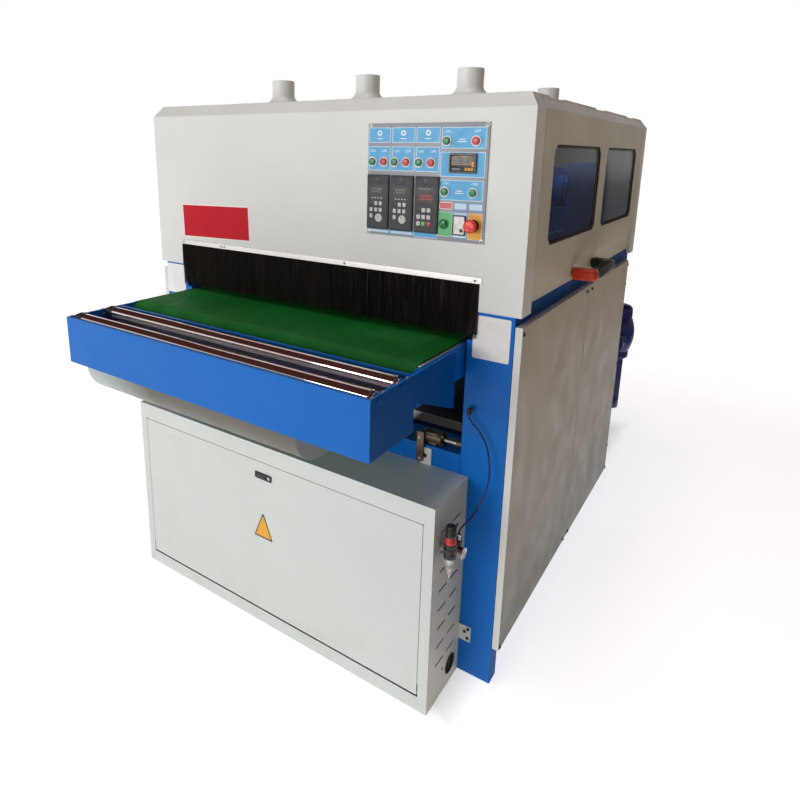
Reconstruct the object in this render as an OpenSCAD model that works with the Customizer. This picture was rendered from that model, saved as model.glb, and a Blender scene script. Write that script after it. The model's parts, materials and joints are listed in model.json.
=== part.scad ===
// Wide sheet metal brushing machine: a blue post frame with screwed side panels, a belt conveyor
// that runs through it, roller trays at both ends, an electrical cabinet at the front and a hood
// with two doors that swing up. Millimetres, +Z up, infeed towards -Y, origin on the floor
// at the middle of the machine.

/* [Frame] */
// Width over the frame posts
frame_w = 1656; // [1500:4:1900]
// Depth over the frame posts
frame_d = 1690; // [1400:10:2100]
// Height of the posts, where the hood stands
frame_h = 1378; // [1340:2:1500]
// Width of a post
post_w = 160; // [120:2:190]
// Depth of a post
post_d = 60; // [50:2:100]
// Section of the rails between the posts
rail = 60; // [40:2:80]
// How far the top side rails stand above the posts
rail_rise = 22; // [10:1:30]
// Height of the underside of the base rails and side panels
base_z = 152; // [100:2:200]
// Height of the crossbar's underside
crossbar_z = 780; // [700:2:800]
// Height of the crossbar
crossbar_h = 80; // [40:2:90]
// Width cut from each post beside the mouth of the hood
notch_w = 24; // [16:1:40]
// Height cut from each post beside the mouth of the hood
notch_h = 100; // [60:2:110]

/* [Side panels] */
// Thickness of a folded side panel
panel_t = 25; // [15:1:40]
// Gap between two side panels
panel_seam = 12; // [5:1:20]
// Distance from a side panel's top to the top of the posts
panel_drop = 32; // [20:1:60]
// Distance from a side panel's outer edge to the frame's end
panel_inset = 2; // [1:1:20]
// Rear strip of the frame that the rear side panel leaves bare
panel_rear_inset = 92; // [40:2:160]
// Place of the gap between the side panels in front of the machine's middle
panel_mid = -39; // [-120:1:120]

/* [Hood] */
// How far the hood stands out past the frame's sides
hood_over_w = 22; // [10:1:40]
// How far the hood stands out past the frame's ends
hood_over_d = 10; // [5:1:40]
// Height of the hood
hood_h = 675; // [550:5:800]
// Thickness of the folded hood panels
skin = 20; // [14:1:26]
// Width of the chamfer round the roof
chamfer_w = 30; // [26:1:40]
// Height of the chamfer round the roof
chamfer_h = 43; // [36:1:60]
// Depth of the end panels' returns round the hood's corners
return_d = 85; // [60:1:120]
// Gap round the hood doors
seam = 5; // [4:0.5:8]
// Width of the mouth that the curtain closes
mouth_w = 1410; // [1200:10:1420]
// Height of the mouth above the posts
mouth_h = 92; // [60:2:120]
// Height of the bare strip over the mouth
strip_h = 20; // [12:1:30]
// Thickness of the bare strip
strip_t = 3; // [2:0.5:5]
// Thickness of the bristle curtain
curtain_t = 12; // [6:0.5:12]
// Gap between the curtain and the belt
curtain_gap = 15; // [6:1:30]

/* [Hood doors] */
// Height of the plain strip along a door's lower edge
door_strip_h = 55; // [40:1:80]
// Height of the bevel over that strip
door_bevel_h = 65; // [40:1:90]
// How far that strip is set in
door_recess = 14; // [8:1:16]
// Width of a window
window_w = 612; // [400:2:640]
// Height of a window
window_h = 324; // [200:2:360]
// Height of a window's sill over the door's lower edge
window_sill = 177; // [150:1:220]
// Distance between a door's two windows
window_mullion = 93; // [60:1:140]
// Cut corners of a window
window_cut = 25; // [10:1:40]
// Thickness of the window pane
pane_t = 6; // [4:1:8]
// Radius of the hinge pins
hinge_pin_r = 3.5; // [3:0.5:4.5]
// Radius of the hinge barrels
hinge_r = 6.5; // [6:0.5:7]
// Length of a hinge
hinge_l = 120; // [80:5:200]
// Length of a door handle
handle_l = 350; // [300:10:600]
// How far a door handle stands out
handle_reach = 84; // [60:2:92]

/* [Brushing heads] */
// Distance between two brushing heads
head_pitch = 380; // [300:5:400]
// Width of a brushing head
head_w = 1380; // [1370:2:1386]
// Height of the underside of a head's beam
head_z = 1500; // [1480:5:1560]
// Radius of a brush roll
roll_r = 75; // [60:1:80]
// Radius of the motors on the heads
head_motor_r = 70; // [50:1:75]

/* [Dust ports] */
// Outer radius of a dust port
port_r = 44; // [35:1:75]
// Wall of a dust port
port_t = 3; // [2:0.5:5]
// Height of a dust port over the roof
port_h = 90; // [60:2:200]
// Distance between the front dust ports
port_pitch = 402; // [300:1:430]
// Place of the front row's middle port to the right of the machine's middle
port_x = 164; // [0:1:200]
// Distance from the front row to the port behind it
port_row = 718; // [600:2:1100]
// Place of the port behind to the right of the front row's middle port
port_back = 431; // [0:1:450]

/* [Conveyor] */
// Width of the belt
belt_w = 1300; // [1100:10:1304]
// Thickness of the belt
belt_t = 8; // [4:1:10]
// Height of the belt's upper face
belt_z = 1272; // [1262:1:1278]
// Distance from nose to nose of the belt
belt_l = 2370; // [2200:10:2400]
// Radius of the drums
drum_r = 60; // [50:1:66]
// Radius of the drum shafts
shaft_r = 20; // [12:1:25]
// Thickness of the conveyor's side plates
bed_side_t = 8; // [5:1:9]

/* [Trays] */
// Width of a roller tray
tray_w = 1348; // [1344:2:1400]
// Length of a roller tray
tray_l = 500; // [480:5:600]
// Height of a roller tray
tray_h = 175; // [165:1:200]
// Height of a tray's upper edge
tray_z = 1264; // [1255:1:1268]
// Wall of a tray
tray_t = 12; // [6:1:12]
// Depth of the box that holds a tray's rollers
tray_box = 230; // [225:1:300]
// Distance of a tray from the frame
tray_gap = 90; // [60:2:120]
// Radius of a tray roller
roller_r = 22; // [18:1:24]
// Height of the roller tops over the tray's upper edge
roller_rise = 10; // [6:1:14]
// Distance of the outer roller from the tray's outer face
roller_inset = 43; // [42:1:55]
// Distance between the two rollers
roller_pitch = 128; // [90:1:135]
// Radius of the roller journals
journal_r = 8; // [6:0.5:10]

/* [Drip pan] */
// Radius of the rounded pan under the infeed tray
pan_r = 116; // [90:1:140]
// Wall of the pan
pan_t = 4; // [3:1:6]
// Left end of the pan
pan_x0 = -660; // [-700:5:-600]
// Right end of the pan
pan_x1 = 380; // [300:5:520]

/* [Cabinet] */
// Width of the electrical cabinet
cab_w = 1456; // [1200:4:1500]
// Depth of the cabinet
cab_d = 245; // [200:5:300]
// Height of the cabinet
cab_h = 788; // [700:2:790]
// Middle of the cabinet
cab_x = -27; // [-40:1:0]
// Wall of the cabinet
cab_t = 3; // [2:0.5:4]
// Margin round the cabinet door
cab_margin = 41; // [30:1:60]
// Height of the cabinet door's lower edge
cab_sill = 64; // [50:1:90]
// Distance of the door's upper edge from the cabinet's top
cab_head = 70; // [50:1:100]
// Thickness of the folded cabinet door
cab_door_t = 20; // [16:1:25]
// Gap at the cabinet door's hinge side
cab_hinge_gap = 8; // [7:0.5:12]
// Length of a vent slot
vent_l = 58; // [30:2:60]
// Height of a vent slot
vent_h = 8; // [4:1:10]
// Vent slots in a column
vent_rows = 8; // [3:1:8]
// Radius of the cable hole
cable_r = 36; // [20:1:38]

/* [Control panel] */
// Width of the control panel
cp_w = 436; // [400:2:500]
// Height of the control panel
cp_h = 370; // [350:2:400]
// Left edge of the control panel
cp_x = 276; // [200:2:300]
// Height of the control panel over the posts
cp_z = 219; // [150:1:240]
// Thickness of the control panel
cp_t = 4; // [2:0.5:6]
// Radius of a button's bezel
bezel_r = 17; // [14:0.5:19]

/* [Hidden] */
$fn = 48;
fit_gap = 0.3;
pin_gap = 0.05;
eps = 1;

half_w = frame_w / 2;
half_d = frame_d / 2;
passage = half_w - post_w;
hood_w = frame_w + 2 * hood_over_w;
hood_d = frame_d + 2 * hood_over_d;
hood_top = frame_h + hood_h;
rail_top = frame_h + rail_rise;
door_z = rail_top + seam;
door_half = hood_d / 2 - return_d - seam;
door_rise = 29;
face_x = hood_w / 2;
window_y = (window_w + window_mullion) / 2;
window_z = door_z + window_sill + window_h / 2;
hinge_inset = 6;
hinge_x = face_x - chamfer_w - hinge_inset;
hinge_z = hood_top - skin / 2;
hinge_cut = hinge_x - hinge_r - hinge_inset;
roof_half = hinge_x + 4;
lug_t = 10;
lug_foot = 3;
leaf_t = 4;
handle_y = -120;
handle_leg = 56;
handle_bar = 36;
handle_edge = 3;
foot_inset = 40;
port_inset = 147;
port_y = -half_d + port_inset;
port_foot = 26;
port_foot_h = 30;
mouth_top = frame_h + mouth_h;
strip_over = 8;
curtain_side = 1;
cheek_t = 20;
cheek_d = 120;
beam_d = 180;
beam_h = 150;
roll_gap = 6;
roll_z = belt_z + curtain_gap + roll_r + roll_gap;
head_motor_l = 300;
head_motor_inset = 30;
motor_foot_h = 30;
motor_foot_d = 100;
head_plate_t = 12;
head_plate_z = frame_h - rail + 10;
head_plate_low = 60;
head_plate_high = 340;
head_plate_step = 70;
belt_r = drum_r + belt_t;
drum_z = belt_z - belt_r;
drum_y = belt_l / 2 - belt_r;
bed_x = tray_w / 2 - tray_t - fit_gap - bed_side_t;
bed_end = 10;
bed_low = belt_z - 2 * belt_r + 10;
bed_top = belt_z - 6;
slide_t = 40;
column_y = 560;
column = 50;
column_in = 40;
column_top = belt_z - 2 * belt_r - 30;
bracket_t = 20;
tray_y = half_d + tray_gap;
tray_floor = 6;
tray_shelf = 10;
arm_front = 84;
arm_rear = 198;
roller_play = 12;
journal_inset = 2;
outer_roller_y = tray_y + tray_l - roller_inset;
inner_roller_y = outer_roller_y - roller_pitch;
roller_z = tray_z + roller_rise - roller_r;
pan_y = -tray_y - tray_l + 55 + pan_r;
pan_top = tray_z - tray_h;
pan_z = pan_top - 28;
track_r = 26;
track_l = 66;
track_y = -half_d + 24;
track_z = crossbar_z + crossbar_h + 28;
lever_w = 28;
lever_low = 80;
lever_high = 22;
lever_gap = 4;
lever_t = 8;
cab_y = -half_d;
cab_front = cab_y - cab_d;
cab_left = cab_x - cab_w / 2;
cab_right = cab_x + cab_w / 2;
cab_door_w = cab_w - 2 * cab_margin;
cab_door_h = cab_h - cab_head - cab_sill;
cab_pivot_y = cab_front + 7;
cab_pivot_z = cab_sill + 6;
cab_pin_r = 4;
cab_pin_l = 20;
jamb_t = 24;
vent_inset = 56;
vent_pitch = 74;
vent_column = 84;
vent_z = 153;
cable_inset = 70;
cable_z = 78;
tab_t = 4;
tab_w = 44;
tab_h = 63;
side_tab_w = 46;
side_tab_h = 62;
side_tab_z = 138;
latch_w = 86;
latch_h = 28;
latch_drop = 42;
latch_t = 3;
frl_x = cab_right + 36;
frl_y = cab_front + 48;
frl_z = 630;
// The regulator's round parts from bowl to knob: radius, start over its port and length
frl_parts = [[7, -100, 27], [16, -74, 60], [21, -15, 44], [17, 28, 25], [17, 52, 40]];
frl_port_r = 10;
outlet_y = frl_y + 62;
gauge_r = 21;
gauge_w = 26;
gauge_drop = 38;
fitting_r = 9;
elbow = [699, cab_y - 20, 1024];
elbow_h = 26;
hose_r = 3;
hose_start = [frl_x, outlet_y, 656];
hose_route = [hose_start, [738, -979, 666], [744, -972, 681], [753, -957, 694],
              [763, -938, 708], [774, -917, 736], [785, -902, 770], [791, -894, 806],
              [793, -889, 840], [789, -883, 872], [781, -876, 903], [768, -870, 936],
              [749, -867, 966], [724, -866, 991], [706, -865, 1006], [700, -865, 1015], elbow];
gear_x = half_w - 30;
gear_y = half_d + 150;
// The gearmotor's round parts from the motor's end up: radius, height and length
gear_parts = [[42, 430, 316], [64, 745, 40], [85, 783, 203], [66, 985, 70]];
gear_neck_r = 60;
gear_neck_l = 80;
gear_neck_z = 860;
gear_plate_t = 12;
gear_plate_w = 128;
gear_plate_h = 240;
gear_plate_z = 740;
cp_y = -hood_d / 2 - cp_t;
cp_base = frame_h + cp_z;
// Places on the control panel are measured from its lower left corner
button_row = 246;
green_places = [[21, button_row], [107, button_row], [199, button_row], [295, 314],
                [295, 157], [392, 157], [296, 55]];
red_places = [[65, button_row], [151, button_row], [243, button_row], [394, 314]];
bezel_t = 5;
cap_inset = 5;
cap_t = 8;
stop_place = [398, 56];
stop_neck_r = 14;
stop_neck_l = 22;
stop_r = 22;
stop_t = 14;
drive_lefts = [3, 96, 190];
drive_v = 20;
drive_size = [86, 10, 183];
// Left edge, lower edge and size of the counter and of the dial meter
meters = [[[307, 216], [93, 8, 61]], [[329, 22], [44, 7, 64]]];
blue = [0.16, 0.43, 0.76];
cream = [0.85, 0.84, 0.81];
steel = [0.78, 0.79, 0.80];
black = [0.06, 0.06, 0.07];

// A box from one corner to the opposite one
module block(a, b) {
    translate(a) cube(b - a);
}

// The children and their mirror image across X = 0
module both_sides() {
    children();
    mirror([1, 0, 0]) children();
}

// The children and their mirror image across Y = 0
module both_ends() {
    children();
    mirror([0, 1, 0]) children();
}

// A cylinder along +X that starts at p
module bar_x(p, r, l) {
    translate(p) rotate([0, 90, 0]) cylinder(r = r, h = l);
}

// A cylinder along +Y that starts at p
module bar_y(p, r, l) {
    translate(p) rotate([-90, 0, 0]) cylinder(r = r, h = l);
}

// A cylinder along -Y that starts at p
module stud(p, r, l) {
    translate(p) rotate([90, 0, 0]) cylinder(r = r, h = l);
}

// ---- frame ----

module post() {
    difference() {
        block([passage, -half_d, 0], [half_w, -half_d + post_d, frame_h]);
        block([passage - eps, -half_d - eps, frame_h - notch_h],
              [passage + notch_w, -half_d + post_d + eps, frame_h + eps]);
    }
}

module front_posts() { color(blue) both_sides() post(); }
module rear_posts() {
    color(blue) mirror([0, 1, 0]) both_sides() difference() {
        post();
        block([half_w - foot_inset, -half_d - eps, -eps],
              [half_w + eps, -half_d + post_d + eps, base_z]);
    }
}

module crossbars() {
    color(blue) both_ends()
        block([-passage, -half_d, crossbar_z],
              [passage, -half_d + post_d, crossbar_z + crossbar_h]);
}

module top_rails() {
    color(blue) both_sides() {
        block([half_w - rail, -half_d + post_d, frame_h - rail],
              [half_w, half_d - post_d, rail_top]);
    }
}

module base_rails() {
    color(blue) {
        both_sides()
            block([half_w - rail, -half_d + post_d, base_z],
                  [half_w, half_d - post_d, base_z + rail]);
        both_ends()
            block([-half_w + rail, -column_y - rail / 2, base_z],
                  [half_w - rail, -column_y + rail / 2, base_z + rail]);
    }
}

module side_panels() {
    for (span = [[-half_d + panel_inset, panel_mid - panel_seam / 2],
                 [panel_mid + panel_seam / 2, half_d - panel_rear_inset]])
        block([half_w, span[0], base_z], [half_w + panel_t, span[1], frame_h - panel_drop]);
}

module side_panels_right() { color(cream) side_panels(); }
module side_panels_left() { color(cream) mirror([1, 0, 0]) side_panels(); }

module rear_panel() {
    color(cream) block([-passage, half_d - skin, base_z], [passage, half_d, crossbar_z]);
}

// ---- hood ----

// The hood's outside, shrunk by t on every side but the bottom
module hood_form(t) {
    intersection() {
        translate([0, hood_d / 2 + eps, 0]) rotate([90, 0, 0]) linear_extrude(hood_d + 2 * eps)
            hood_profile(hood_w / 2, t);
        translate([-hood_w / 2 - eps, 0, 0]) rotate([90, 0, 90])
            linear_extrude(hood_w + 2 * eps) hood_profile(hood_d / 2, t);
    }
}

module hood_profile(half, t) {
    k = t * 0.6; // the chamfer moves in less than the flat sides do
    foot = frame_h - (t > 0 ? eps : 0);
    polygon([[-half + t, foot], [half - t, foot], [half - t, hood_top - chamfer_h - k],
             [half - chamfer_w - k, hood_top - t], [-half + chamfer_w + k, hood_top - t],
             [-half + t, hood_top - chamfer_h - k]]);
}

module hood_end() {
    difference() {
        intersection() {
            hood_form(0);
            block([-hood_w / 2, -hood_d / 2, frame_h],
                  [hood_w / 2, -hood_d / 2 + return_d, hood_top]);
        }
        hood_form(skin);
        block([-mouth_w / 2, -hood_d / 2 - eps, frame_h - eps],
              [mouth_w / 2, -hood_d / 2 + skin + eps, mouth_top]);
    }
}

module hood_front() { color(cream) hood_end(); }
module hood_rear() { color(cream) mirror([0, 1, 0]) hood_end(); }

// The hinges stand at three places along each door
function hinge_ys() = [-door_half * 0.75, 0, door_half * 0.75];

// One of the two lugs that hold a hinge pin, from y to y + lug_t
module hinge_lug(y) {
    bar_y([hinge_x, y, hinge_z], hinge_r, lug_t);
    block([hinge_cut - eps, y, hood_top - skin + lug_foot], [hinge_x, y + lug_t, hinge_z + hinge_r]);
}

module hood_roof() {
    color(cream) {
        difference() {
            block([-roof_half, -hood_d / 2 + return_d, hood_top - skin],
                  [roof_half, hood_d / 2 - return_d, hood_top]);
            for (p = port_places())
                translate([p[0], p[1], hood_top - skin - eps])
                    cylinder(r = port_r - port_t, h = skin + 2 * eps);
            both_sides() for (y = hinge_ys())
                block([hinge_cut, y - hinge_l / 2 - lug_t - seam, hood_top - skin - eps],
                      [roof_half + eps, y + hinge_l / 2 + lug_t + seam, hood_top + eps]);
        }
        both_sides() for (y = hinge_ys()) {
            hinge_lug(y - hinge_l / 2 - lug_t);
            hinge_lug(y + hinge_l / 2);
            bar_y([hinge_x, y - hinge_l / 2 - lug_t / 2, hinge_z], hinge_pin_r, hinge_l + lug_t);
        }
    }
}

// Where the dust ports stand: three in the front row and one behind them
function port_places() = concat([for (i = [-1, 0, 1]) [port_x + i * port_pitch, port_y]],
                                [[port_x + port_back, port_y + port_row]]);

module window_outline(grow) {
    w = window_w / 2 + grow;
    h = window_h / 2 + grow;
    c = window_cut;
    polygon([[-w + c, -h], [w - c, -h], [w, -h + c], [w, h - c],
             [w - c, h], [-w + c, h], [-w, h - c], [-w, -h + c]]);
}

// Extrudes an outline that faces +X and starts at x
module facing_x(x, y, z, t) {
    translate([x, y, z]) rotate([90, 0, 90]) linear_extrude(t) children();
}

module hood_door() {
    top = hood_top - chamfer_h;
    run = door_rise * chamfer_w / chamfer_h;
    inward = skin * [chamfer_h, chamfer_w] / norm([chamfer_w, chamfer_h]);
    mitre = skin * tan(atan2(chamfer_w, chamfer_h) / 2);
    edge = [face_x - run, top + door_rise];
    tip = edge - inward / 2;
    strip_x = face_x - door_recess;
    bevel_z = door_z + door_strip_h;
    difference() {
        translate([0, door_half, 0]) rotate([90, 0, 0]) linear_extrude(2 * door_half)
            polygon([[strip_x, door_z], [strip_x, bevel_z], [face_x, bevel_z + door_bevel_h],
                     [face_x, top], edge, edge - inward, [face_x - skin, top - mitre],
                     [face_x - skin, bevel_z + door_bevel_h], [strip_x - skin, bevel_z],
                     [strip_x - skin, door_z]]);
        for (s = [-1, 1])
            facing_x(face_x - skin - eps, s * window_y, window_z, skin + 2 * eps)
                window_outline(0);
    }
    for (y = hinge_ys()) difference() {
        union() {
            bar_y([hinge_x, y - hinge_l / 2 + fit_gap, hinge_z], hinge_r, hinge_l - 2 * fit_gap);
            translate([0, y + hinge_l / 2 - fit_gap, 0]) rotate([90, 0, 0])
                linear_extrude(hinge_l - 2 * fit_gap)
                polygon([[hinge_x - eps, hinge_z - hinge_r + eps],
                         [hinge_x + hinge_r - eps, hinge_z], [tip[0] + leaf_t, tip[1] + eps],
                         [tip[0] - leaf_t, tip[1] - leaf_t]]);
        }
        bar_y([hinge_x, y - hinge_l, hinge_z], hinge_pin_r + pin_gap, 2 * hinge_l);
    }
}

module hood_door_right() { color(cream) hood_door(); }
module hood_door_left() { color(cream) mirror([1, 0, 0]) hood_door(); }

module windows() {
    for (s = [-1, 1])
        facing_x(face_x - skin / 2 - pane_t / 2, s * window_y, window_z, pane_t)
            window_outline(-fit_gap);
}

module windows_right() { color([0.2, 0.17, 0.15, 0.6]) windows(); }
module windows_left() { color([0.2, 0.17, 0.15, 0.6]) mirror([1, 0, 0]) windows(); }

module door_handle() {
    z0 = door_z + handle_edge;
    z1 = door_z + door_strip_h - handle_edge;
    reach = face_x + handle_reach;
    for (s = [-1, 1])
        block([face_x - door_recess, handle_y + s * (handle_l - handle_leg) / 2 - handle_leg / 2, z0],
              [reach, handle_y + s * (handle_l - handle_leg) / 2 + handle_leg / 2, z1]);
    block([reach - handle_bar, handle_y - handle_l / 2 + handle_leg - eps, z0 + handle_edge],
          [reach, handle_y + handle_l / 2 - handle_leg + eps, z1 - handle_edge]);
}

module door_handle_right() { color(black) door_handle(); }
module door_handle_left() { color(black) mirror([1, 0, 0]) door_handle(); }

module dust_port() {
    difference() {
        union() {
            cylinder(r = port_r, h = port_h);
            cylinder(r1 = port_r + port_foot, r2 = port_r, h = port_foot_h);
        }
        translate([0, 0, -eps]) cylinder(r = port_r - port_t, h = port_h + 2 * eps);
    }
}

module dust_ports() {
    color([0.92, 0.92, 0.92]) for (p = port_places())
        translate([p[0], p[1], hood_top]) dust_port();
}

module curtain_strips() {
    color(steel) both_ends()
        block([-mouth_w / 2 - strip_over, -hood_d / 2 - strip_t, mouth_top],
              [mouth_w / 2 + strip_over, -hood_d / 2, mouth_top + strip_h]);
}

module bristle_curtains() {
    w = mouth_w / 2 - curtain_side;
    outer = -hood_d / 2 - strip_t;
    color(black) both_ends()
        block([-w, outer, belt_z + curtain_gap], [w, outer + curtain_t, mouth_top]);
}

// ---- brushing heads inside the hood ----

function head_ys() = [for (i = [-1.5:1:1.5]) i * head_pitch];

module head_plates() {
    x0 = head_w / 2 + fit_gap;
    color([0.62, 0.63, 0.63]) both_sides() {
        block([x0, -door_half, head_plate_z],
              [x0 + head_plate_t, door_half, head_z + head_plate_low]);
        block([x0, head_plate_step, head_z + head_plate_low - eps],
              [x0 + head_plate_t, door_half, head_z + head_plate_high]);
        block([x0, -door_half, head_plate_z],
              [half_w - rail, door_half, head_plate_z + head_plate_t]);
    }
}

module brush_heads() {
    motor_x = head_w / 2 - head_motor_inset - head_motor_l;
    color(blue) for (y = head_ys()) difference() {
        union() {
            block([-head_w / 2, y - beam_d / 2, head_z],
                  [head_w / 2, y + beam_d / 2, head_z + beam_h]);
            both_sides()
                block([head_w / 2 - cheek_t, y - cheek_d / 2, roll_z - cheek_d / 2 + 10],
                      [head_w / 2, y + cheek_d / 2, head_z + eps]);
            both_sides()
                bar_x([motor_x, y, head_z + beam_h + head_motor_r - 5], head_motor_r,
                      head_motor_l);
            both_sides()
                block([motor_x + head_motor_inset, y - motor_foot_d / 2, head_z + beam_h - eps],
                      [motor_x + head_motor_l - head_motor_inset, y + motor_foot_d / 2,
                       head_z + beam_h + motor_foot_h]);
        }
        bar_x([-head_w, y, roll_z], shaft_r + fit_gap, 2 * head_w);
    }
}

module brush_rolls() {
    l = head_w - 2 * cheek_t - roll_gap;
    color([0.25, 0.2, 0.16]) for (y = head_ys()) {
        bar_x([-l / 2, y, roll_z], roll_r, l);
        bar_x([-head_w / 2, y, roll_z], shaft_r, head_w);
    }
}

// ---- conveyor ----

module conveyor_bed() {
    column_x = bed_x - column_in;
    color([0.35, 0.55, 0.8]) {
        both_sides() difference() {
            block([bed_x, -belt_l / 2 + bed_end, bed_low],
                  [bed_x + bed_side_t, belt_l / 2 - bed_end, bed_top]);
            both_ends()
                bar_x([bed_x - eps, -drum_y, drum_z], shaft_r + fit_gap, 2 * bed_side_t);
        }
        block([-bed_x, -drum_y + drum_r + bed_end, belt_z - belt_t - slide_t],
              [bed_x, drum_y - drum_r - bed_end, belt_z - belt_t - fit_gap]);
        both_ends() both_sides() {
            block([column_x - column, -column_y - column / 2, base_z + rail],
                  [column_x, -column_y + column / 2, column_top]);
            block([column_x - column, -column_y - column / 2, column_top - eps],
                  [bed_x + bed_side_t, -column_y + column / 2, column_top + bracket_t]);
            block([bed_x, -column_y - column / 2, column_top + bracket_t - eps],
                  [bed_x + bed_side_t, -column_y + column / 2, bed_low + eps]);
        }
    }
}

// The outline of a loop round both drums
module stadium(r) {
    for (s = [-1, 1]) translate([s * drum_y, drum_z]) circle(r = r);
    translate([-drum_y, drum_z - r]) square([2 * drum_y, 2 * r]);
}

module conveyor_belt() {
    color([0.06, 0.3, 0.11]) translate([-belt_w / 2, 0, 0]) rotate([90, 0, 90])
        linear_extrude(belt_w) difference() {
            stadium(belt_r);
            stadium(drum_r);
        }
}

module belt_drums() {
    color(steel) both_ends() {
        bar_x([-belt_w / 2, -drum_y, drum_z], drum_r - fit_gap, belt_w);
        bar_x([-bed_x - bed_side_t, -drum_y, drum_z], shaft_r, 2 * (bed_x + bed_side_t));
    }
}

// ---- roller trays ----

module tray() {
    front = -tray_y - tray_l;
    back = front + tray_box;
    shelf_z = roller_z - roller_r - 8;
    difference() {
        union() {
            block([-tray_w / 2, front, tray_z - tray_h], [tray_w / 2, back, tray_z]);
            both_sides() along_x(tray_w / 2 - tray_t, tray_w / 2)
                polygon([[back - eps, tray_z - arm_front], [-tray_y, tray_z - arm_rear],
                         [-tray_y, tray_z], [back - eps, tray_z]]);
        }
        block([-tray_w / 2 + tray_t, front + tray_t, shelf_z],
              [tray_w / 2 - tray_t, back - tray_t, tray_z + eps]);
        block([-tray_w / 2 + tray_t, front + tray_t, tray_z - tray_h + tray_floor],
              [tray_w / 2 - tray_t, back + eps, shelf_z - tray_shelf]);
        for (y = [outer_roller_y, inner_roller_y])
            bar_x([-tray_w, -y, roller_z], journal_r + pin_gap, 2 * tray_w);
    }
}

module infeed_tray() { color(blue) tray(); }
module outfeed_tray() { color(blue) mirror([0, 1, 0]) tray(); }

module roller(y) {
    l = tray_w - 2 * tray_t - 2 * roller_play;
    bar_x([-l / 2, y, roller_z], roller_r, l);
    bar_x([-tray_w / 2 + journal_inset, y, roller_z], journal_r, tray_w - 2 * journal_inset);
}

module infeed_roller_outer() { color(steel) roller(-outer_roller_y); }
module infeed_roller_inner() { color(steel) roller(-inner_roller_y); }
module outfeed_roller_outer() { color(steel) roller(outer_roller_y); }
module outfeed_roller_inner() { color(steel) roller(inner_roller_y); }

// Extrudes an outline that faces +X from x0 to x1
module along_x(x0, x1) {
    translate([x0, 0, 0]) rotate([90, 0, 90]) linear_extrude(x1 - x0) children();
}

// The pan seen from its end: an upright wall over a quarter round, and a floor that ends at back
module pan_outline(r, back) {
    intersection() {
        translate([pan_y, pan_z]) circle(r = r, $fn = 96);
        translate([pan_y - r, pan_z - r]) square(r);
    }
    translate([pan_y - r, pan_z - eps]) square([r, pan_top - pan_z + eps]);
    translate([pan_y - eps, pan_z - r]) square([back - pan_y + eps, pan_top - pan_z + r]);
}

module drip_pan() {
    back = -tray_y - tray_l + tray_box;
    color(cream) difference() {
        along_x(pan_x0, pan_x1) pan_outline(pan_r, back);
        along_x(pan_x0 + pan_t, pan_x1 - pan_t) pan_outline(pan_r - pan_t, back - pan_t);
        block([pan_x0 + pan_t, pan_y - pan_r + pan_t, pan_z],
              [pan_x1 - pan_t, back - pan_t, tray_z]);
    }
}

// A short air cylinder on the front crossbar that pushes the belt sideways, and its lever
module tracking_cylinder() {
    body_x = passage - track_l - 84;
    pivot_x = passage - 152;
    lever_y = -half_d - lever_gap - lever_t;
    color([0.42, 0.36, 0.3]) {
        bar_x([body_x, track_y, track_z], track_r, track_l);
        bar_x([body_x + track_l, track_y, track_z], track_r + 2, 8);
        bar_x([body_x + track_l + 8, track_y, track_z], 11, 76);
        block([body_x - 16, track_y - 16, track_z - 16], [body_x + eps, track_y + 16, track_z + 16]);
        block([pivot_x - lever_w / 2, lever_y, track_z - lever_low],
              [pivot_x + lever_w / 2, lever_y + lever_t, track_z + lever_high]);
        bar_y([pivot_x, lever_y, track_z - lever_low], lever_w / 2, lever_t);
        bar_y([pivot_x, lever_y - 6, track_z], 8, track_y - lever_y + 4);
        block([body_x + 20, track_y - 16, crossbar_z + crossbar_h],
              [body_x + 50, track_y + 16, track_z - 20]);
    }
}

// ---- cabinet ----

module vents(x) {
    for (i = [0:vent_rows - 1]) for (column = [0, 1]) {
        y = cab_front + vent_inset + column * vent_column;
        z = vent_z + i * vent_pitch;
        block([x - 2 * cab_t, y, z], [x + 2 * cab_t, y + vent_l, z + vent_h]);
    }
}

module cabinet_body() {
    color(cream) {
        difference() {
            block([cab_left, cab_front, 0], [cab_right, cab_y, cab_h]);
            block([cab_left + cab_t, cab_front + cab_t, cab_t],
                  [cab_right - cab_t, cab_y - cab_t, cab_h - cab_t]);
            block([cab_left + cab_margin - seam, cab_front - eps, cab_sill - cab_hinge_gap],
                  [cab_right - cab_margin + seam, cab_front + cab_t + eps,
                   cab_h - cab_head + seam]);
            vents(cab_left);
            vents(cab_right);
            bar_x([cab_right - 2 * cab_t, cab_y - cable_inset, cable_z], cable_r, 4 * cab_t);
        }
        translate([cab_x, 0, 0]) both_sides() difference() {
            block([cab_door_w / 2 + seam, cab_front, cab_pivot_z - cab_pin_l],
                  [cab_w / 2, cab_front + jamb_t, cab_pivot_z + cab_pin_l]);
            bar_x([cab_door_w / 2, cab_pivot_y, cab_pivot_z], cab_pin_r + pin_gap,
                  seam + cab_pin_l);
        }
        block([passage - 153, cab_y - tab_t, cab_h - eps],
              [passage - 153 + tab_w, cab_y, cab_h + tab_h]);
        block([cab_right - eps, cab_y - tab_t, side_tab_z],
              [cab_right + side_tab_w, cab_y, side_tab_z + side_tab_h]);
    }
}

module cabinet_door() {
    color(cream) {
        block([cab_x - cab_door_w / 2, cab_front, cab_sill],
              [cab_x + cab_door_w / 2, cab_front + cab_door_t, cab_sill + cab_door_h]);
        bar_x([cab_x - cab_door_w / 2 - cab_pin_l, cab_pivot_y, cab_pivot_z], cab_pin_r,
              cab_door_w + 2 * cab_pin_l);
    }
}

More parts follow.
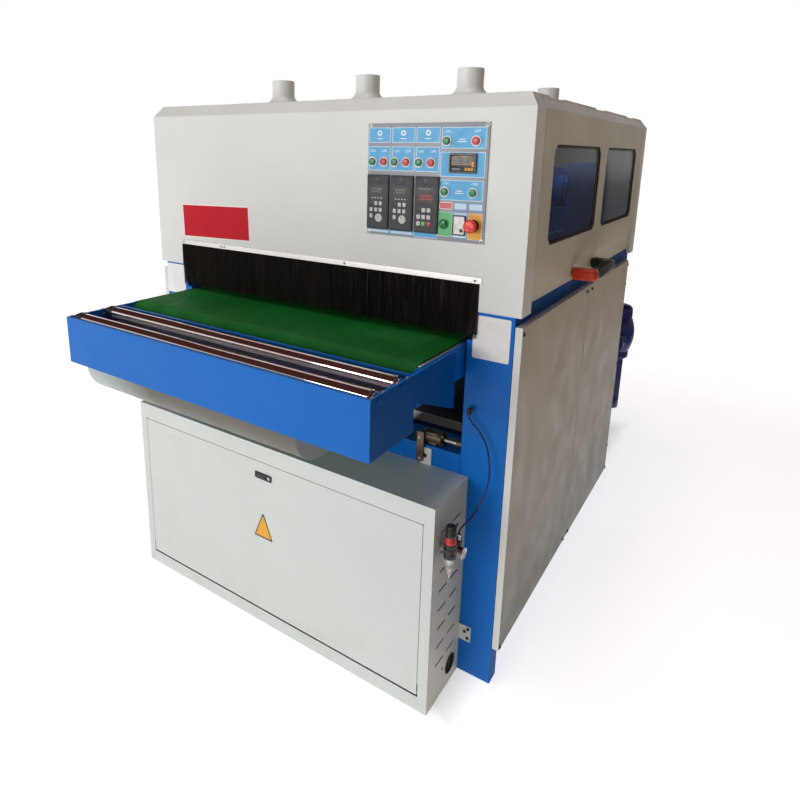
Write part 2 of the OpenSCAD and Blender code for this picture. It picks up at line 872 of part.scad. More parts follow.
module cabinet_latch() {
    top = cab_sill + cab_door_h - latch_drop;
    color(black)
        block([cab_x - latch_w / 2, cab_front - latch_t, top - latch_h],
              [cab_x + latch_w / 2, cab_front, top]);
}

// ---- air supply ----

module air_regulator() {
    color(black) {
        for (part = frl_parts)
            translate([frl_x, frl_y, frl_z + part[1]]) cylinder(r = part[0], h = part[2]);
        bar_x([cab_right, frl_y, frl_z], frl_port_r, frl_x - cab_right);
        bar_y([frl_x, frl_y, frl_z], fitting_r, outlet_y - frl_y - 2);
        bar_x([frl_x - 4, outlet_y, frl_z - gauge_drop], gauge_r, gauge_w);
        translate([frl_x, outlet_y, frl_z - gauge_drop])
            cylinder(r = fitting_r, h = hose_start[2] - frl_z + gauge_drop);
        translate(elbow) cylinder(r = fitting_r, h = elbow_h);
        bar_y(elbow + [0, 0, elbow_h - 12], fitting_r - 1, -elbow[1] + cab_y);
    }
}

function unit(v) = v / norm(v);

// The direction of the route at point i
function heading(p, i) = unit(p[min(i + 1, len(p) - 1)] - p[max(i - 1, 0)]);

// A point of a smooth curve through p[i] and p[i + 1], at t from 0 to 1
function between(p, i, t) =
    let (a = p[max(i - 1, 0)], b = p[i], c = p[i + 1], d = p[min(i + 2, len(p) - 1)])
    0.5 * (2 * b + (c - a) * t + (2 * a - 5 * b + 4 * c - d) * t * t
           + (3 * b - a - 3 * c + d) * t * t * t);

function smooth(p, n) = concat([for (i = [0:len(p) - 2]) for (j = [0:n - 1]) between(p, i, j / n)],
                               [p[len(p) - 1]]);

// One closed tube of the given radius along the route p, with sides flat faces
module tube(p, r, sides) {
    side = [1, 0, 0];
    rings = [for (i = [0:len(p) - 1])
        let (t = heading(p, i), u = unit(cross(t, side)), v = cross(t, u))
        for (j = [0:sides - 1])
            p[i] + r * (cos(360 * j / sides) * u + sin(360 * j / sides) * v)];
    n = len(p);
    faces = concat(
        [[for (j = [0:sides - 1]) j]],
        [for (i = [0:n - 2]) for (j = [0:sides - 1])
            [i * sides + j, (i + 1) * sides + j, (i + 1) * sides + (j + 1) % sides,
             i * sides + (j + 1) % sides]],
        [[for (j = [0:sides - 1]) (n - 1) * sides + sides - 1 - j]]);
    polyhedron(points = rings, faces = faces);
}

module air_hose() { color(black) tube(smooth(hose_route, 2), hose_r, 8); }

module gearmotor() {
    color([0.05, 0.1, 0.35]) {
        for (part = gear_parts)
            translate([gear_x, gear_y, part[1]]) cylinder(r = part[0], h = part[2]);
        bar_y([gear_x, half_d, gear_neck_z], gear_neck_r, gear_neck_l);
        block([half_w - gear_plate_w, half_d, gear_plate_z],
              [half_w, half_d + gear_plate_t, gear_plate_z + gear_plate_h]);
    }
}

// ---- controls ----

module control_panel() {
    color([0.6, 0.62, 0.64])
        block([cp_x, cp_y, cp_base], [cp_x + cp_w, cp_y + cp_t, cp_base + cp_h]);
}

module push_button(place) {
    stud([cp_x + place[0], cp_y, cp_base + place[1]], bezel_r, bezel_t);
    stud([cp_x + place[0], cp_y - bezel_t + eps, cp_base + place[1]], bezel_r - cap_inset, cap_t);
}

module green_buttons() {
    color([0.05, 0.45, 0.25]) for (place = green_places) push_button(place);
}

module red_buttons() {
    x = cp_x + stop_place[0];
    z = cp_base + stop_place[1];
    color([0.75, 0.15, 0.15]) {
        for (place = red_places) push_button(place);
        stud([x, cp_y, z], stop_neck_r, stop_neck_l);
        stud([x, cp_y - stop_neck_l + eps, z], stop_r, stop_t);
    }
}

module speed_drives() {
    color([0.2, 0.21, 0.22]) for (u = drive_lefts)
        translate([cp_x + u, cp_y - drive_size[1], cp_base + drive_v]) cube(drive_size);
}

module panel_meters() {
    color([0.08, 0.08, 0.09]) for (m = meters)
        translate([cp_x + m[0][0], cp_y - m[1][1], cp_base + m[0][1]]) cube(m[1]);
}

front_posts();
rear_posts();
crossbars();
top_rails();
base_rails();
side_panels_left();
side_panels_right();
rear_panel();
hood_front();
hood_rear();
hood_roof();
hood_door_left();
hood_door_right();
windows_left();
windows_right();
door_handle_left();
door_handle_right();
dust_ports();
curtain_strips();
bristle_curtains();
head_plates();
brush_heads();
brush_rolls();
conveyor_bed();
conveyor_belt();
belt_drums();
infeed_tray();
outfeed_tray();
infeed_roller_outer();
infeed_roller_inner();
outfeed_roller_outer();
outfeed_roller_inner();
drip_pan();
tracking_cylinder();
cabinet_body();
cabinet_door();
cabinet_latch();
air_regulator();
air_hose();
gearmotor();
control_panel();
green_buttons();
red_buttons();
speed_drives();
panel_meters();
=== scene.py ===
"""Looks of the sheet metal brushing machine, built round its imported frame."""
import json
import math
import random

import bmesh
import bpy
from mathutils import Matrix, Vector


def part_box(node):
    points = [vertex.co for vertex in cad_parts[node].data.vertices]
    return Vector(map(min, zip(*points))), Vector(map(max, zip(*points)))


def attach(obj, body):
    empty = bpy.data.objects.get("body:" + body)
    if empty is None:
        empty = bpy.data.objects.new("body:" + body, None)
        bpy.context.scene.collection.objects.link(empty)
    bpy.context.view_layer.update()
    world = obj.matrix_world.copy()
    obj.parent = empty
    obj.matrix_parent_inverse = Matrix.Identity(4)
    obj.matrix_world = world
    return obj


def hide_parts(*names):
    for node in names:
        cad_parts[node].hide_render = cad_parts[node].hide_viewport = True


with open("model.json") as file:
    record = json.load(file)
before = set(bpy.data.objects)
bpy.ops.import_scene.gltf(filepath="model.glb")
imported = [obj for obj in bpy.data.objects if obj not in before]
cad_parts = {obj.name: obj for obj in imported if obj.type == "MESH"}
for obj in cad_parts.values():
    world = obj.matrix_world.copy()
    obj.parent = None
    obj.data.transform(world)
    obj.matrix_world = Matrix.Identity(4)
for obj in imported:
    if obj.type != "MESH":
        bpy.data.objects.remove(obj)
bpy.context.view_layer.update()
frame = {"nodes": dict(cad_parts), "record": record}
NODES = frame["nodes"]
BODY_OF = {node: body for body, members in frame["record"]["behaviour"]["bodies"].items()
           for node in members}
SLOT_OF = {part["node"]: part["material_slot"] for part in frame["record"]["subparts"]}
MOUNTS = {mount["name"]: mount["pos_m"] for mount in frame["record"]["mounts"]}
X, Y, Z = Vector((1, 0, 0)), Vector((0, 1, 0)), Vector((0, 0, 1))
MM = 0.001


def show(name, data):
    """Puts a new object in the scene."""
    made = bpy.data.objects.new(name, data)
    bpy.context.scene.collection.objects.link(made)
    return made


# ---- camera ----

def make_camera():
    """Stands to the right of the infeed, at head height, and looks slightly down."""
    place = (1.4512, -2.6445, 1.8721)
    yaw, pitch, roll = 0.5923, -0.2296, 0.0140
    forward = Vector((-math.sin(yaw) * math.cos(pitch), math.cos(yaw) * math.cos(pitch),
                      math.sin(pitch)))
    level = Vector((math.cos(yaw), math.sin(yaw), 0.0))
    upward = level.cross(forward)
    right = level * math.cos(roll) + upward * math.sin(roll)
    up = upward * math.cos(roll) - level * math.sin(roll)
    data = bpy.data.cameras.new("camera")
    data.lens, data.sensor_width = 27.52, 36.0
    data.shift_x, data.shift_y = 0.0503, -0.1307
    camera = show("camera", data)
    basis = Matrix((right, up, -forward)).transposed().to_4x4()
    camera.matrix_world = Matrix.Translation(place) @ basis
    bpy.context.scene.camera = camera


make_camera()


# ---- materials ----

def srgb(red, green, blue):
    """A linear colour from screen values of 0 to 255."""
    def linear(value):
        value /= 255
        return value / 12.92 if value <= 0.04045 else ((value + 0.055) / 1.055) ** 2.4
    return (linear(red), linear(green), linear(blue), 1.0)


DUST = srgb(150, 128, 104)
NAVY_DUST = srgb(20, 66, 120)


class Tree:
    """Adds nodes to the node tree of a material or world."""

    def __init__(self, owner):
        self.nodes, self.links = owner.node_tree.nodes, owner.node_tree.links

    def feed(self, socket, value):
        """Sets a socket, or links another node's output to it."""
        if isinstance(value, bpy.types.NodeSocket):
            self.links.new(value, socket)
        else:
            socket.default_value = value

    def node(self, kind, inputs, output=0, **settings):
        """Adds a node and returns one of its outputs."""
        node = self.nodes.new("ShaderNode" + kind)
        for name, value in settings.items():
            setattr(node, name, value)
        for socket, value in inputs.items():
            self.feed(node.inputs[socket], value)
        return node.outputs[output]

    def span(self, value, start, end, low=0.0, high=1.0):
        return self.node("MapRange", {"Value": value, "From Min": start, "From Max": end,
                                      "To Min": low, "To Max": high})

    def math(self, operation, first, second):
        return self.node("Math", {0: first, 1: second}, operation=operation)

    def blend(self, factor, first, second):
        """Mixes two colours, each a colour or the output of another node."""
        return self.node("Mix", {"Factor": factor, 6: first, 7: second}, 2, data_type="RGBA")

    def axis(self, place, letter):
        return self.node("SeparateXYZ", {"Vector": place}, letter)

    def camera_ray(self):
        return self.node("LightPath", {}, "Is Camera Ray")


class Finish(Tree):
    """A node material on the Principled shader, with textures in the object's own space."""

    def __init__(self, name, color, roughness, metallic=0.0, **sockets):
        self.base = color
        self.material = bpy.data.materials.new(name)
        self.material.use_nodes = True
        super().__init__(self.material)
        self.shader = self.nodes["Principled BSDF"].inputs
        sockets.update(Base_Color=color, Roughness=roughness, Metallic=metallic)
        for socket, value in sockets.items():
            self.shader[socket.replace("_", " ")].default_value = value
        self.space = self.node("TexCoord", {}, "Object")
        self.normal = None

    def texture(self, kind, stretch, **settings):
        place = self.node("Mapping", {"Vector": self.space, "Scale": stretch})
        return self.node(kind, {"Vector": place, **settings})

    def noise(self, scale, detail=3.0, stretch=(1, 1, 1), distortion=0.0):
        return self.texture("TexNoise", stretch, Scale=scale, Detail=detail, Distortion=distortion)

    def along(self, letter):
        """The place along one axis of the object's own space."""
        return self.axis(self.space, letter)

    def shades(self, value, low, high):
        """Mixes a darker and a lighter shade of the finish's own colour."""
        first, second = ((*(part * by for part in self.base[:3]), 1.0) for by in (low, high))
        return self.blend(value, first, second)

    def color(self, output):
        self.links.new(output, self.shader["Base Color"])

    def rough(self, value, low, high, start=0.3, end=0.7):
        self.links.new(self.span(value, start, end, low, high), self.shader["Roughness"])

    def bump(self, value, distance, strength):
        inputs = {"Height": value, "Distance": distance, "Strength": strength}
        if self.normal is not None:
            inputs["Normal"] = self.normal
        self.normal = self.node("Bump", inputs)
        self.links.new(self.normal, self.shader["Normal"])


def paint(name, color, roughness=0.42, dust=DUST, grain=0.00025, shine=0.5, height_shade=None):
    """Sprayed metal: faint mottling, fine orange peel, slow waves and a little dust low down.

    The last argument gives painted shade and painted light by height: the shades of the colour near
    the floor and at the top.
    """
    finish = Finish(name, color, roughness, Coat_Weight=0.04, Coat_Roughness=0.25,
                    Specular_IOR_Level=shine)
    mottle = finish.shades(finish.span(finish.noise(2.3, 4.0), 0.3, 0.7), 0.965, 1.025)
    # Painted shade by height: dark near the floor, lighter towards the top, each shade faintly
    # mottled.
    if height_shade:
        low, high = height_shade
        mottle = finish.blend(finish.span(finish.along("Z"), 0.2, 1.95),
                              finish.shades(finish.noise(2.3, 4.0), low, low * 1.06),
                              finish.shades(finish.noise(2.3, 4.0), high, high * 1.05))
    dirt = finish.math("MULTIPLY", finish.span(finish.along("Z"), 0.25, 0.02),
                       finish.span(finish.noise(9.0, 6.0), 0.45, 0.7, 0.0, 0.14))
    rubbed = finish.span(finish.noise(5.0, 5.0, (1, 1, 3.5)), 0.64, 0.8, 0.0, 0.06)
    finish.color(finish.blend(rubbed, finish.blend(dirt, mottle, dust), dust))
    finish.rough(finish.noise(7.0, 5.0), roughness - 0.07, roughness + 0.09)
    finish.bump(finish.noise(330.0, 2.0), grain, 0.35)
    finish.bump(finish.noise(2.6, 1.0), 0.004, 0.22)
    return finish.material


def pan_paint():
    """Pale sheet whose colour darkens along X from its pale left end into painted shade under the
    machine, mottled in the shade.
    """
    finish = Finish("pan_grey", srgb(150, 158, 158), 0.42)
    # Painted shade: the colour runs from the pale left end into a dark tone under the machine.
    painted_shade_tone = finish.blend(finish.noise(4.0, 5.0), srgb(82, 80, 70), srgb(100, 97, 86))
    reach = finish.span(finish.along("X"), -0.70, -0.28)
    finish.color(finish.blend(reach, srgb(176, 190, 188), painted_shade_tone))
    finish.rough(finish.noise(7.0, 5.0), 0.35, 0.5)
    finish.bump(finish.noise(330.0, 2.0), 0.00025, 0.35)
    return finish.material


def plastic(name, color, roughness=0.4, shine=0.5):
    finish = Finish(name, color, roughness, Specular_IOR_Level=shine)
    finish.color(finish.shades(finish.noise(14.0, 4.0), 0.86, 1.12))
    finish.rough(finish.noise(60.0), roughness - 0.08, roughness + 0.1)
    finish.bump(finish.noise(520.0, 2.0), 0.0002, 0.35)
    return finish.material


def metal(name, color, roughness=0.34, stretch=(20, 20, 20)):
    """Ground or brushed metal, its lines along the axis with the small stretch."""
    finish = Finish(name, color, roughness, 1.0)
    lines = finish.noise(8.0, 6.0, stretch)
    finish.color(finish.shades(lines, 0.82, 1.06))
    finish.rough(lines, roughness - 0.07, roughness + 0.12)
    finish.bump(lines, 0.0002, 0.3)
    return finish.material


def chrome():
    """Hard chromed rolls with faint turning marks and a film of wiped dirt."""
    finish = Finish("chrome_roll", (0.86, 0.80, 0.78, 1.0), 0.06, 1.0)
    film = finish.span(finish.noise(5.0, 5.0, (0.6, 3, 3)), 0.4, 0.7)
    finish.color(finish.blend(film, finish.base, (0.70, 0.56, 0.52, 1.0)))
    finish.rough(film, 0.04, 0.1, 0.0, 1.0)
    finish.bump(finish.noise(40.0, 2.0, (12, 1, 1)), 0.0001, 0.2)
    return finish.material


def belt_cover():
    """A green coated belt, its face fine-grained, with pale dust marks that run along it."""
    finish = Finish("belt_green", srgb(14, 96, 34), 0.6, Specular_IOR_Level=0.15)
    tone = finish.blend(finish.span(finish.noise(3.0, 6.0, (1, 0.5, 1)), 0.3, 0.7),
                        srgb(10, 92, 30), srgb(20, 116, 44))
    dust = finish.span(finish.noise(4.2, 7.0, (1.0, 0.7, 1), 0.5), 0.52, 0.76, 0.0, 0.5)
    streaks = finish.span(finish.noise(16.0, 3.0, (1, 0.05, 1)), 0.55, 0.75, 0.0, 0.3)
    finish.color(finish.blend(streaks, finish.blend(dust, tone, srgb(66, 136, 72)),
                              srgb(8, 76, 26)))
    finish.rough(dust, 0.52, 0.75, 0.0, 0.3)
    finish.bump(finish.texture("TexVoronoi", (1, 1, 1), Scale=420.0), 0.0003, 0.5)
    finish.bump(finish.noise(6.0, 3.0), 0.003, 0.25)
    return finish.material


def smoked_pane(name, alpha):
    """Dark acrylic with wipe marks: the heads behind it show faintly."""
    finish = Finish(name, (0.02, 0.014, 0.011, 1.0), 0.06, Alpha=alpha, Specular_IOR_Level=0.16)
    smears = finish.noise(3.0, 5.0, (1, 2.2, 0.6), 0.8)
    finish.color(finish.blend(finish.span(smears, 0.4, 0.75, 0.0, 0.55),
                              (0.018, 0.012, 0.009, 1.0), (0.05, 0.038, 0.03, 1.0)))
    finish.rough(smears, 0.14, 0.30, 0.35, 0.75)
    finish.bump(finish.noise(2.4, 1.0), 0.003, 0.2)
    return finish.material


def clear_plastic():
    finish = Finish("clear_bowl", (0.8, 0.84, 0.85, 1.0), 0.08, Alpha=0.32)
    finish.rough(finish.noise(30.0), 0.05, 0.16)
    finish.bump(finish.noise(25.0, 2.0), 0.001, 0.25)
    return finish.material


def bristles():
    """Black nylon strands, each a little lighter or browner than the next."""
    finish = Finish("bristle", (0.008, 0.007, 0.006, 1.0), 0.42)
    tone = finish.blend(finish.node("NewGeometry", {}, "Random Per Island"),
                        (0.003, 0.003, 0.003, 1.0), (0.022, 0.016, 0.012, 1.0))
    finish.color(finish.blend(finish.span(finish.noise(24.0, 3.0, (1, 1, 0.1)), 0.4, 0.8),
                              tone, (0.03, 0.022, 0.018, 1.0)))
    finish.rough(finish.noise(200.0, 2.0, (1, 1, 0.1)), 0.3, 0.55)
    finish.bump(finish.noise(500.0, 1.0, (1, 1, 0.05)), 0.0005, 0.4)
    return finish.material


def brush_fibre():
    finish = Finish("brush_brown", (0.12, 0.07, 0.04, 1.0), 0.8)
    strands = finish.noise(60.0, 5.0, (3, 6, 6))
    finish.color(finish.blend(strands, (0.05, 0.03, 0.02, 1.0), (0.2, 0.13, 0.08, 1.0)))
    finish.rough(strands, 0.65, 0.95)
    finish.bump(strands, 0.004, 0.6)
    return finish.material


def casting(name, color):
    """Greasy cast metal."""
    finish = Finish(name, color, 0.5, 0.75)
    stain = finish.noise(26.0, 6.0)
    finish.color(finish.shades(finish.span(stain, 0.35, 0.7), 0.4, 1.3))
    finish.rough(stain, 0.28, 0.65)
    finish.bump(finish.noise(140.0, 4.0), 0.0008, 0.5)
    return finish.material


def glowing(name, color, strength):
    finish = Finish(name, color, 0.3, Emission_Color=color, Emission_Strength=strength)
    finish.color(finish.shades(finish.noise(90.0), 0.8, 1.1))
    return finish.material


CREAM = paint("cream_paint", srgb(220, 222, 219))
BLUE = paint("blue_paint", srgb(3, 104, 193), 0.42, NAVY_DUST, shine=0.16)
# Shaded copy of the cream for side faces and the rear panel, with painted shade by height: much
# darker low down, lighter at the top.
SHADED_SIDE_CREAM = paint("side_cream", srgb(200, 185, 156), height_shade=(0.16, 1.5))
# Shaded copy of the blue paint for side faces: painted shade.
SHADED_BLUE = paint("blue_side", srgb(2, 84, 162), 0.5, NAVY_DUST, shine=0.05)
# Warm-tinted copy of the cream for the hood doors' side faces: painted shade tint.
SHADE_TINTED_DOOR_CREAM = paint("door_cream", srgb(228, 220, 192))
# Lighter, warmer copy of the cream for the hood's side faces: painted light.
LIT_HOOD_CREAM = paint("hood_side", srgb(248, 243, 228))
CABINET = paint("cabinet_cream", srgb(205, 211, 207))
# Shaded copy of the cabinet cream for its side faces: painted shade.
SHADED_CABINET_CREAM = paint("cabinet_side", srgb(188, 184, 170))
PORT = paint("port_white", srgb(228, 229, 225))
GREY = paint("grey_paint", srgb(176, 178, 180), 0.45)
NAVY = paint("navy_paint", srgb(22, 40, 108), 0.34, srgb(30, 34, 60))
PANEL = paint("panel_grey", srgb(150, 154, 162), 0.38, grain=0.0001)
# The drip pan's paint carries painted shade along X.
PAN = pan_paint()
# Shaded copy for the drip pan's end faces: painted shade.
SHADED_PAN_END = paint("pan_end", srgb(158, 160, 150))
# Dark navy for the rear panel's inner faces: painted shade inside the machine.
PAINTED_SHADE_INSIDE = paint("inside_painted_shade", srgb(16, 22, 44), 0.6)
TRAY_FLOOR = paint("tray_floor", srgb(176, 180, 196), 0.4)
STEEL = metal("bare_steel", (0.68, 0.67, 0.65, 1.0), 0.3, (1.5, 90, 90))
STEEL_Y = metal("bare_steel_along", (0.6, 0.58, 0.54, 1.0), 0.32, (90, 1.5, 90))
BOLT = metal("bolt_steel", (0.5, 0.49, 0.47, 1.0))
BRASS = metal("brass", (0.62, 0.46, 0.2, 1.0), 0.3)
CHROME = chrome()
BELT = belt_cover()
PANE = smoked_pane("tinted_pane", 0.42)
# Nearly opaque copy of the pane for the far windows: painted shade in the view through the hood.
FAR_PANE = smoked_pane("tinted_pane_shade_opaque", 0.92)
BOWL = clear_plastic()
BRISTLE = bristles()
FIBRE = brush_fibre()
BRONZE = casting("cylinder_bronze", srgb(122, 102, 84))
BLACK = plastic("black_plastic", (0.012, 0.012, 0.013, 1.0))
RUBBER = plastic("rubber", (0.014, 0.013, 0.013, 1.0), 0.6)
WHITE = plastic("white_plastic", srgb(214, 215, 210), 0.45)
STICKER = plastic("blank_plate", srgb(236, 234, 232), 0.35)
HOSE = plastic("hose_black", srgb(10, 18, 66), 0.28)
ORANGE = plastic("handle_orange", srgb(226, 62, 24), 0.34)
RED_PLATE = plastic("red_plate", srgb(196, 12, 34), 0.5, 0.15)
YELLOW = plastic("yellow_plate", srgb(232, 164, 26))
SKY = plastic("field_blue", srgb(76, 170, 222))
PALE = plastic("field_border", srgb(196, 220, 240))
LABEL_RED = plastic("label_red", srgb(216, 96, 104))
GREEN_PLATE = plastic("green_plate", srgb(92, 186, 112))
GREEN = plastic("button_green", srgb(12, 122, 70), 0.22)
RED = plastic("button_red", srgb(196, 44, 52), 0.24)
STOP_RED = plastic("stop_red", srgb(228, 58, 34), 0.26)
DRIVE = plastic("drive_grey", srgb(58, 60, 66), 0.42, 0.3)
DRIVE_DARK = plastic("drive_dark", srgb(22, 22, 24), 0.3)
KEY = plastic("drive_key", srgb(196, 196, 192))
METER = plastic("meter_black", srgb(24, 30, 46), 0.25)
DISPLAY = plastic("display", srgb(34, 32, 30), 0.18)
LCD_MARK = glowing("display_marks", srgb(150, 146, 140), 0.05)
LED_RED = glowing("display_red", srgb(200, 40, 50), 0.25)
PRINT_WHITE = plastic("print_white", srgb(240, 244, 248))
PRINT_BLACK = plastic("print_black", srgb(30, 30, 30))


# ---- mesh building ----

def move(*place):
    """The transform that moves by three numbers or by one vector."""
    return Matrix.Translation(place[0] if len(place) == 1 else place)


def turn(angle, axis="Z"):
    return Matrix.Rotation(angle, 4, axis)


def around(spot, count, first=0.0):
    """Transforms that stand evenly about spot's own Z."""
    return [spot @ turn(math.tau * (k + first) / count) for k in range(count)]


def facing(place, axis, angle=0.0):
    """The transform that stands +Z along axis at place."""
    tilt = Z.rotation_difference(Vector(axis).normalized()).to_matrix().to_4x4()
    return move(place) @ tilt @ turn(angle)


def wall(place, normal):
    """Stands a flat shape on a wall: its x runs along the wall, its y up and its z outwards."""
    out = Vector(normal)
    return move(place) @ Matrix((Z.cross(out), Z, out)).transposed().to_4x4()


def rounded(width, height, radius, steps=4):
    """A rectangle's outline with round corners, its middle at the origin."""
    points = []
    for index, (sx, sy) in enumerate(((1, 1), (-1, 1), (-1, -1), (1, -1))):
        for step in range(steps + 1):
            angle = math.pi / 2 * (index + step / steps)
            points.append((sx * (width / 2 - radius) + radius * math.cos(angle),
                           sy * (height / 2 - radius) + radius * math.sin(angle)))
    return points


def skin(part, rings, closed=False):
    """Joins rings of points by faces, and fills both ends unless they are joined as well."""
    sides = max(map(len, rings))
    for a, b in zip(rings, rings[1:] + rings[:closed]):
        for i in range(sides):
            j = (i + 1) % sides
            corners = dict.fromkeys((a[i % len(a)], a[j % len(a)], b[j % len(b)], b[i % len(b)]))
            if len(corners) > 2:
                part.faces.new(list(corners))
    for ring in () if closed else (rings[0], rings[-1]):
        if len(ring) > 2:
            part.faces.new(ring)


def round_edges(part, edges, bevel, segments=2):
    bmesh.ops.bevel(part, geom=edges, offset=bevel, segments=segments, profile=0.5,
                    affect="EDGES", clamp_overlap=True)


class Piece:
    """Gathers shapes of several materials in one mesh."""

    def __init__(self, name):
        self.name = name
        self.mesh = bmesh.new()
        self.materials = []

    def add(self, part, material, matrix=None):
        """Takes over the faces of the bmesh part."""
        if material not in self.materials:
            self.materials.append(material)
        if matrix is not None:
            part.transform(matrix)
        bmesh.ops.recalc_face_normals(part, faces=part.faces)
        for face in part.faces:
            face.material_index = self.materials.index(material)
        data = bpy.data.meshes.new("part")
        part.to_mesh(data)
        part.free()
        self.mesh.from_mesh(data)
        bpy.data.meshes.remove(data)

    def box(self, low, high, material, bevel=0.001, matrix=None, segments=2):
        low, high = Vector(low), Vector(high)
        part = bmesh.new()
        size = Matrix.Diagonal((*(high - low), 1))
        bmesh.ops.create_cube(part, size=1.0, matrix=move((low + high) / 2) @ size)
        if bevel:
            round_edges(part, list(part.edges), min(bevel, 0.45 * min(high - low)), segments)
        self.add(part, material, matrix)

    def bit(self, low, high, material, matrix, bevel=0.0):
        """A small box with its corners in millimetres, placed by matrix."""
        self.box(Vector(low) * MM, Vector(high) * MM, material, bevel * MM, matrix)

    def prism(self, outline, depth, material, matrix, bevel=0.0):
        """Extrudes a flat outline along +Z by depth, then places it."""
        part = bmesh.new()
        face = part.faces.new([part.verts.new((x, y, 0.0)) for x, y in outline])
        raised = bmesh.ops.extrude_face_region(part, geom=[face])["geom"]
        bmesh.ops.translate(part, vec=(0, 0, depth),
                            verts=[v for v in raised if isinstance(v, bmesh.types.BMVert)])
        if bevel:
            round_edges(part, list(part.edges), bevel)
        self.add(part, material, matrix)

    def lathe(self, profile, material, matrix, sides=24):
        """Turns (radius, height) points in mm about +Z. A profile that ends where it starts
        is a ring."""
        part = bmesh.new()
        closed = profile[0] == profile[-1]
        circle = [(math.cos(math.tau * i / sides) * MM, math.sin(math.tau * i / sides) * MM)
                  for i in range(sides)]
        rings = [[part.verts.new((radius * x, radius * y, height * MM))
                  for x, y in (circle if radius else circle[:1])]
                 for radius, height in profile[:len(profile) - closed]]
        skin(part, rings, closed)
        self.add(part, material, matrix)

    def frame_ring(self, outline, inner, depth, material, matrix):
        """A flat ring between two outlines with as many points."""
        part = bmesh.new()
        rings = [[part.verts.new((x, y, z)) for x, y in line]
                 for line, z in ((outline, 0), (outline, depth), (inner, depth), (inner, 0))]
        skin(part, rings, True)
        self.add(part, material, matrix)

    def pad(self, size, depth, material, matrix, bevel=0.0, steps=4):
        """A flat plate with round corners: its width, height and corner radius in mm."""
        self.prism(rounded(*(s * MM for s in size), steps), depth * MM, material, matrix,
                   bevel * MM)

    def rim(self, size, inner, depth, material, matrix):
        """A flat ring between two such outlines."""
        self.frame_ring(*(rounded(*(s * MM for s in line)) for line in (size, inner)),
                        depth * MM, material, matrix)

    def dome_screw(self, place, axis, r, material=BOLT, angle=0.6):
        """A pan head screw of radius r mm with a cross in it, on a thin washer."""
        spot = facing(place, axis, angle)
        self.lathe([(r * 1.35, 0), (r * 1.35, r * 0.15), (r, r * 0.2), (r * 0.96, r * 0.5),
                    (r * 0.6, r * 0.72), (0, r * 0.78)], material, spot, 14)
        for quarter in (0, math.pi / 2):
            self.bit((-r * 0.55, -r * 0.1, r * 0.6), (r * 0.55, r * 0.1, r * 0.8), PRINT_BLACK,
                     spot @ turn(quarter))

    def hex_bolt(self, place, axis, r, material=BOLT, angle=0.3):
        """A hexagon head of radius r mm on a washer."""
        spot = facing(place, axis, angle)
        self.lathe([(r * 1.3, 0), (r * 1.3, r * 0.18)], material, spot, 18)
        self.lathe([(r * 0.98, r * 0.18), (r, r * 0.75), (r * 0.8, r * 0.9)], material, spot, 6)

    def text(self, words, size, material, matrix, depth=0.0004):
        """Plain generic lettering, such as numbers on a dial, its middle at matrix."""
        curve = bpy.data.curves.new("words", "FONT")
        curve.body, curve.size, curve.extrude = words, size, depth / 2
        curve.align_x = curve.align_y = "CENTER"
        curve.resolution_u = 2
        carrier = bpy.data.objects.new("words", curve)
        part = bmesh.new()
        data = bpy.data.meshes.new_from_object(carrier)
        part.from_mesh(data)
        bpy.data.objects.remove(carrier)
        bpy.data.curves.remove(curve)
        bpy.data.meshes.remove(data)
        self.add(part, material, matrix)

    def finish(self, body, slot, replaces=(), smooth=38.0):
        data = bpy.data.meshes.new(self.name)
        self.mesh.to_mesh(data)
        self.mesh.free()
        for material in self.materials:
            data.materials.append(material)
        data.shade_smooth()
        data.set_sharp_from_angle(angle=math.radians(smooth))
        piece = show(self.name, data)
        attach(piece, body)
        if replaces:
            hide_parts(*replaces)
        return piece


def sideways(face):
    return abs(face.normal.x) > 0.9


def inward(face):
    return face.normal.y < -0.5


def slim_pins(part, reach):
    """Thins the hinge pins at both ends of a part, so that their facets clear the holes."""
    share, slack = 0.88, 0.0005
    for side in (-1, 1):
        tip = max(v.co.x * side for v in part.verts)
        pin = [v for v in part.verts if v.co.x * side > tip - reach + slack]
        middle = sum((v.co for v in pin), Vector()) / len(pin)
        for v in pin:
            v.co.y = middle.y + (v.co.y - middle.y) * share
            v.co.z = middle.z + (v.co.z - middle.z) * share


def soften(node, material, bevel, sides=None, turned=sideways, pins=0.0):
    """Shows a CAD node of folded or welded sheet as a copy with rounded edges.

    sides is a second material for the faces that turned picks out, pins the length of hinge
    pins to be thinned.
    """
    part = bmesh.new()
    part.from_mesh(NODES[node].data)
    bmesh.ops.remove_doubles(part, verts=part.verts, dist=1e-5)
    if pins:
        slim_pins(part, pins)
    flat, sharp = math.radians(1.0), math.radians(28.0)
    bmesh.ops.dissolve_limit(part, angle_limit=flat, verts=part.verts, edges=part.edges)
    round_edges(part, [e for e in part.edges if e.is_manifold and e.calc_face_angle(0.0) > sharp],
                bevel)
    piece = Piece(node + "_shell")
    flanks = [f for f in part.faces if turned(f)] if sides else []
    if flanks:
        apart = part.copy()
        part.faces.ensure_lookup_table()
        kept = {f.index for f in flanks}
        bmesh.ops.delete(part, geom=flanks, context="FACES_ONLY")
        apart.faces.ensure_lookup_table()
        bmesh.ops.delete(apart, geom=[f for f in apart.faces if f.index not in kept],
                         context="FACES_ONLY")
        piece.add(apart, sides)
    piece.add(part, material)
    made = piece.finish(BODY_OF[node], SLOT_OF[node], (node,))
    made.modifiers.new("weighted", "WEIGHTED_NORMAL").keep_sharp = True


# ---- air hose ----

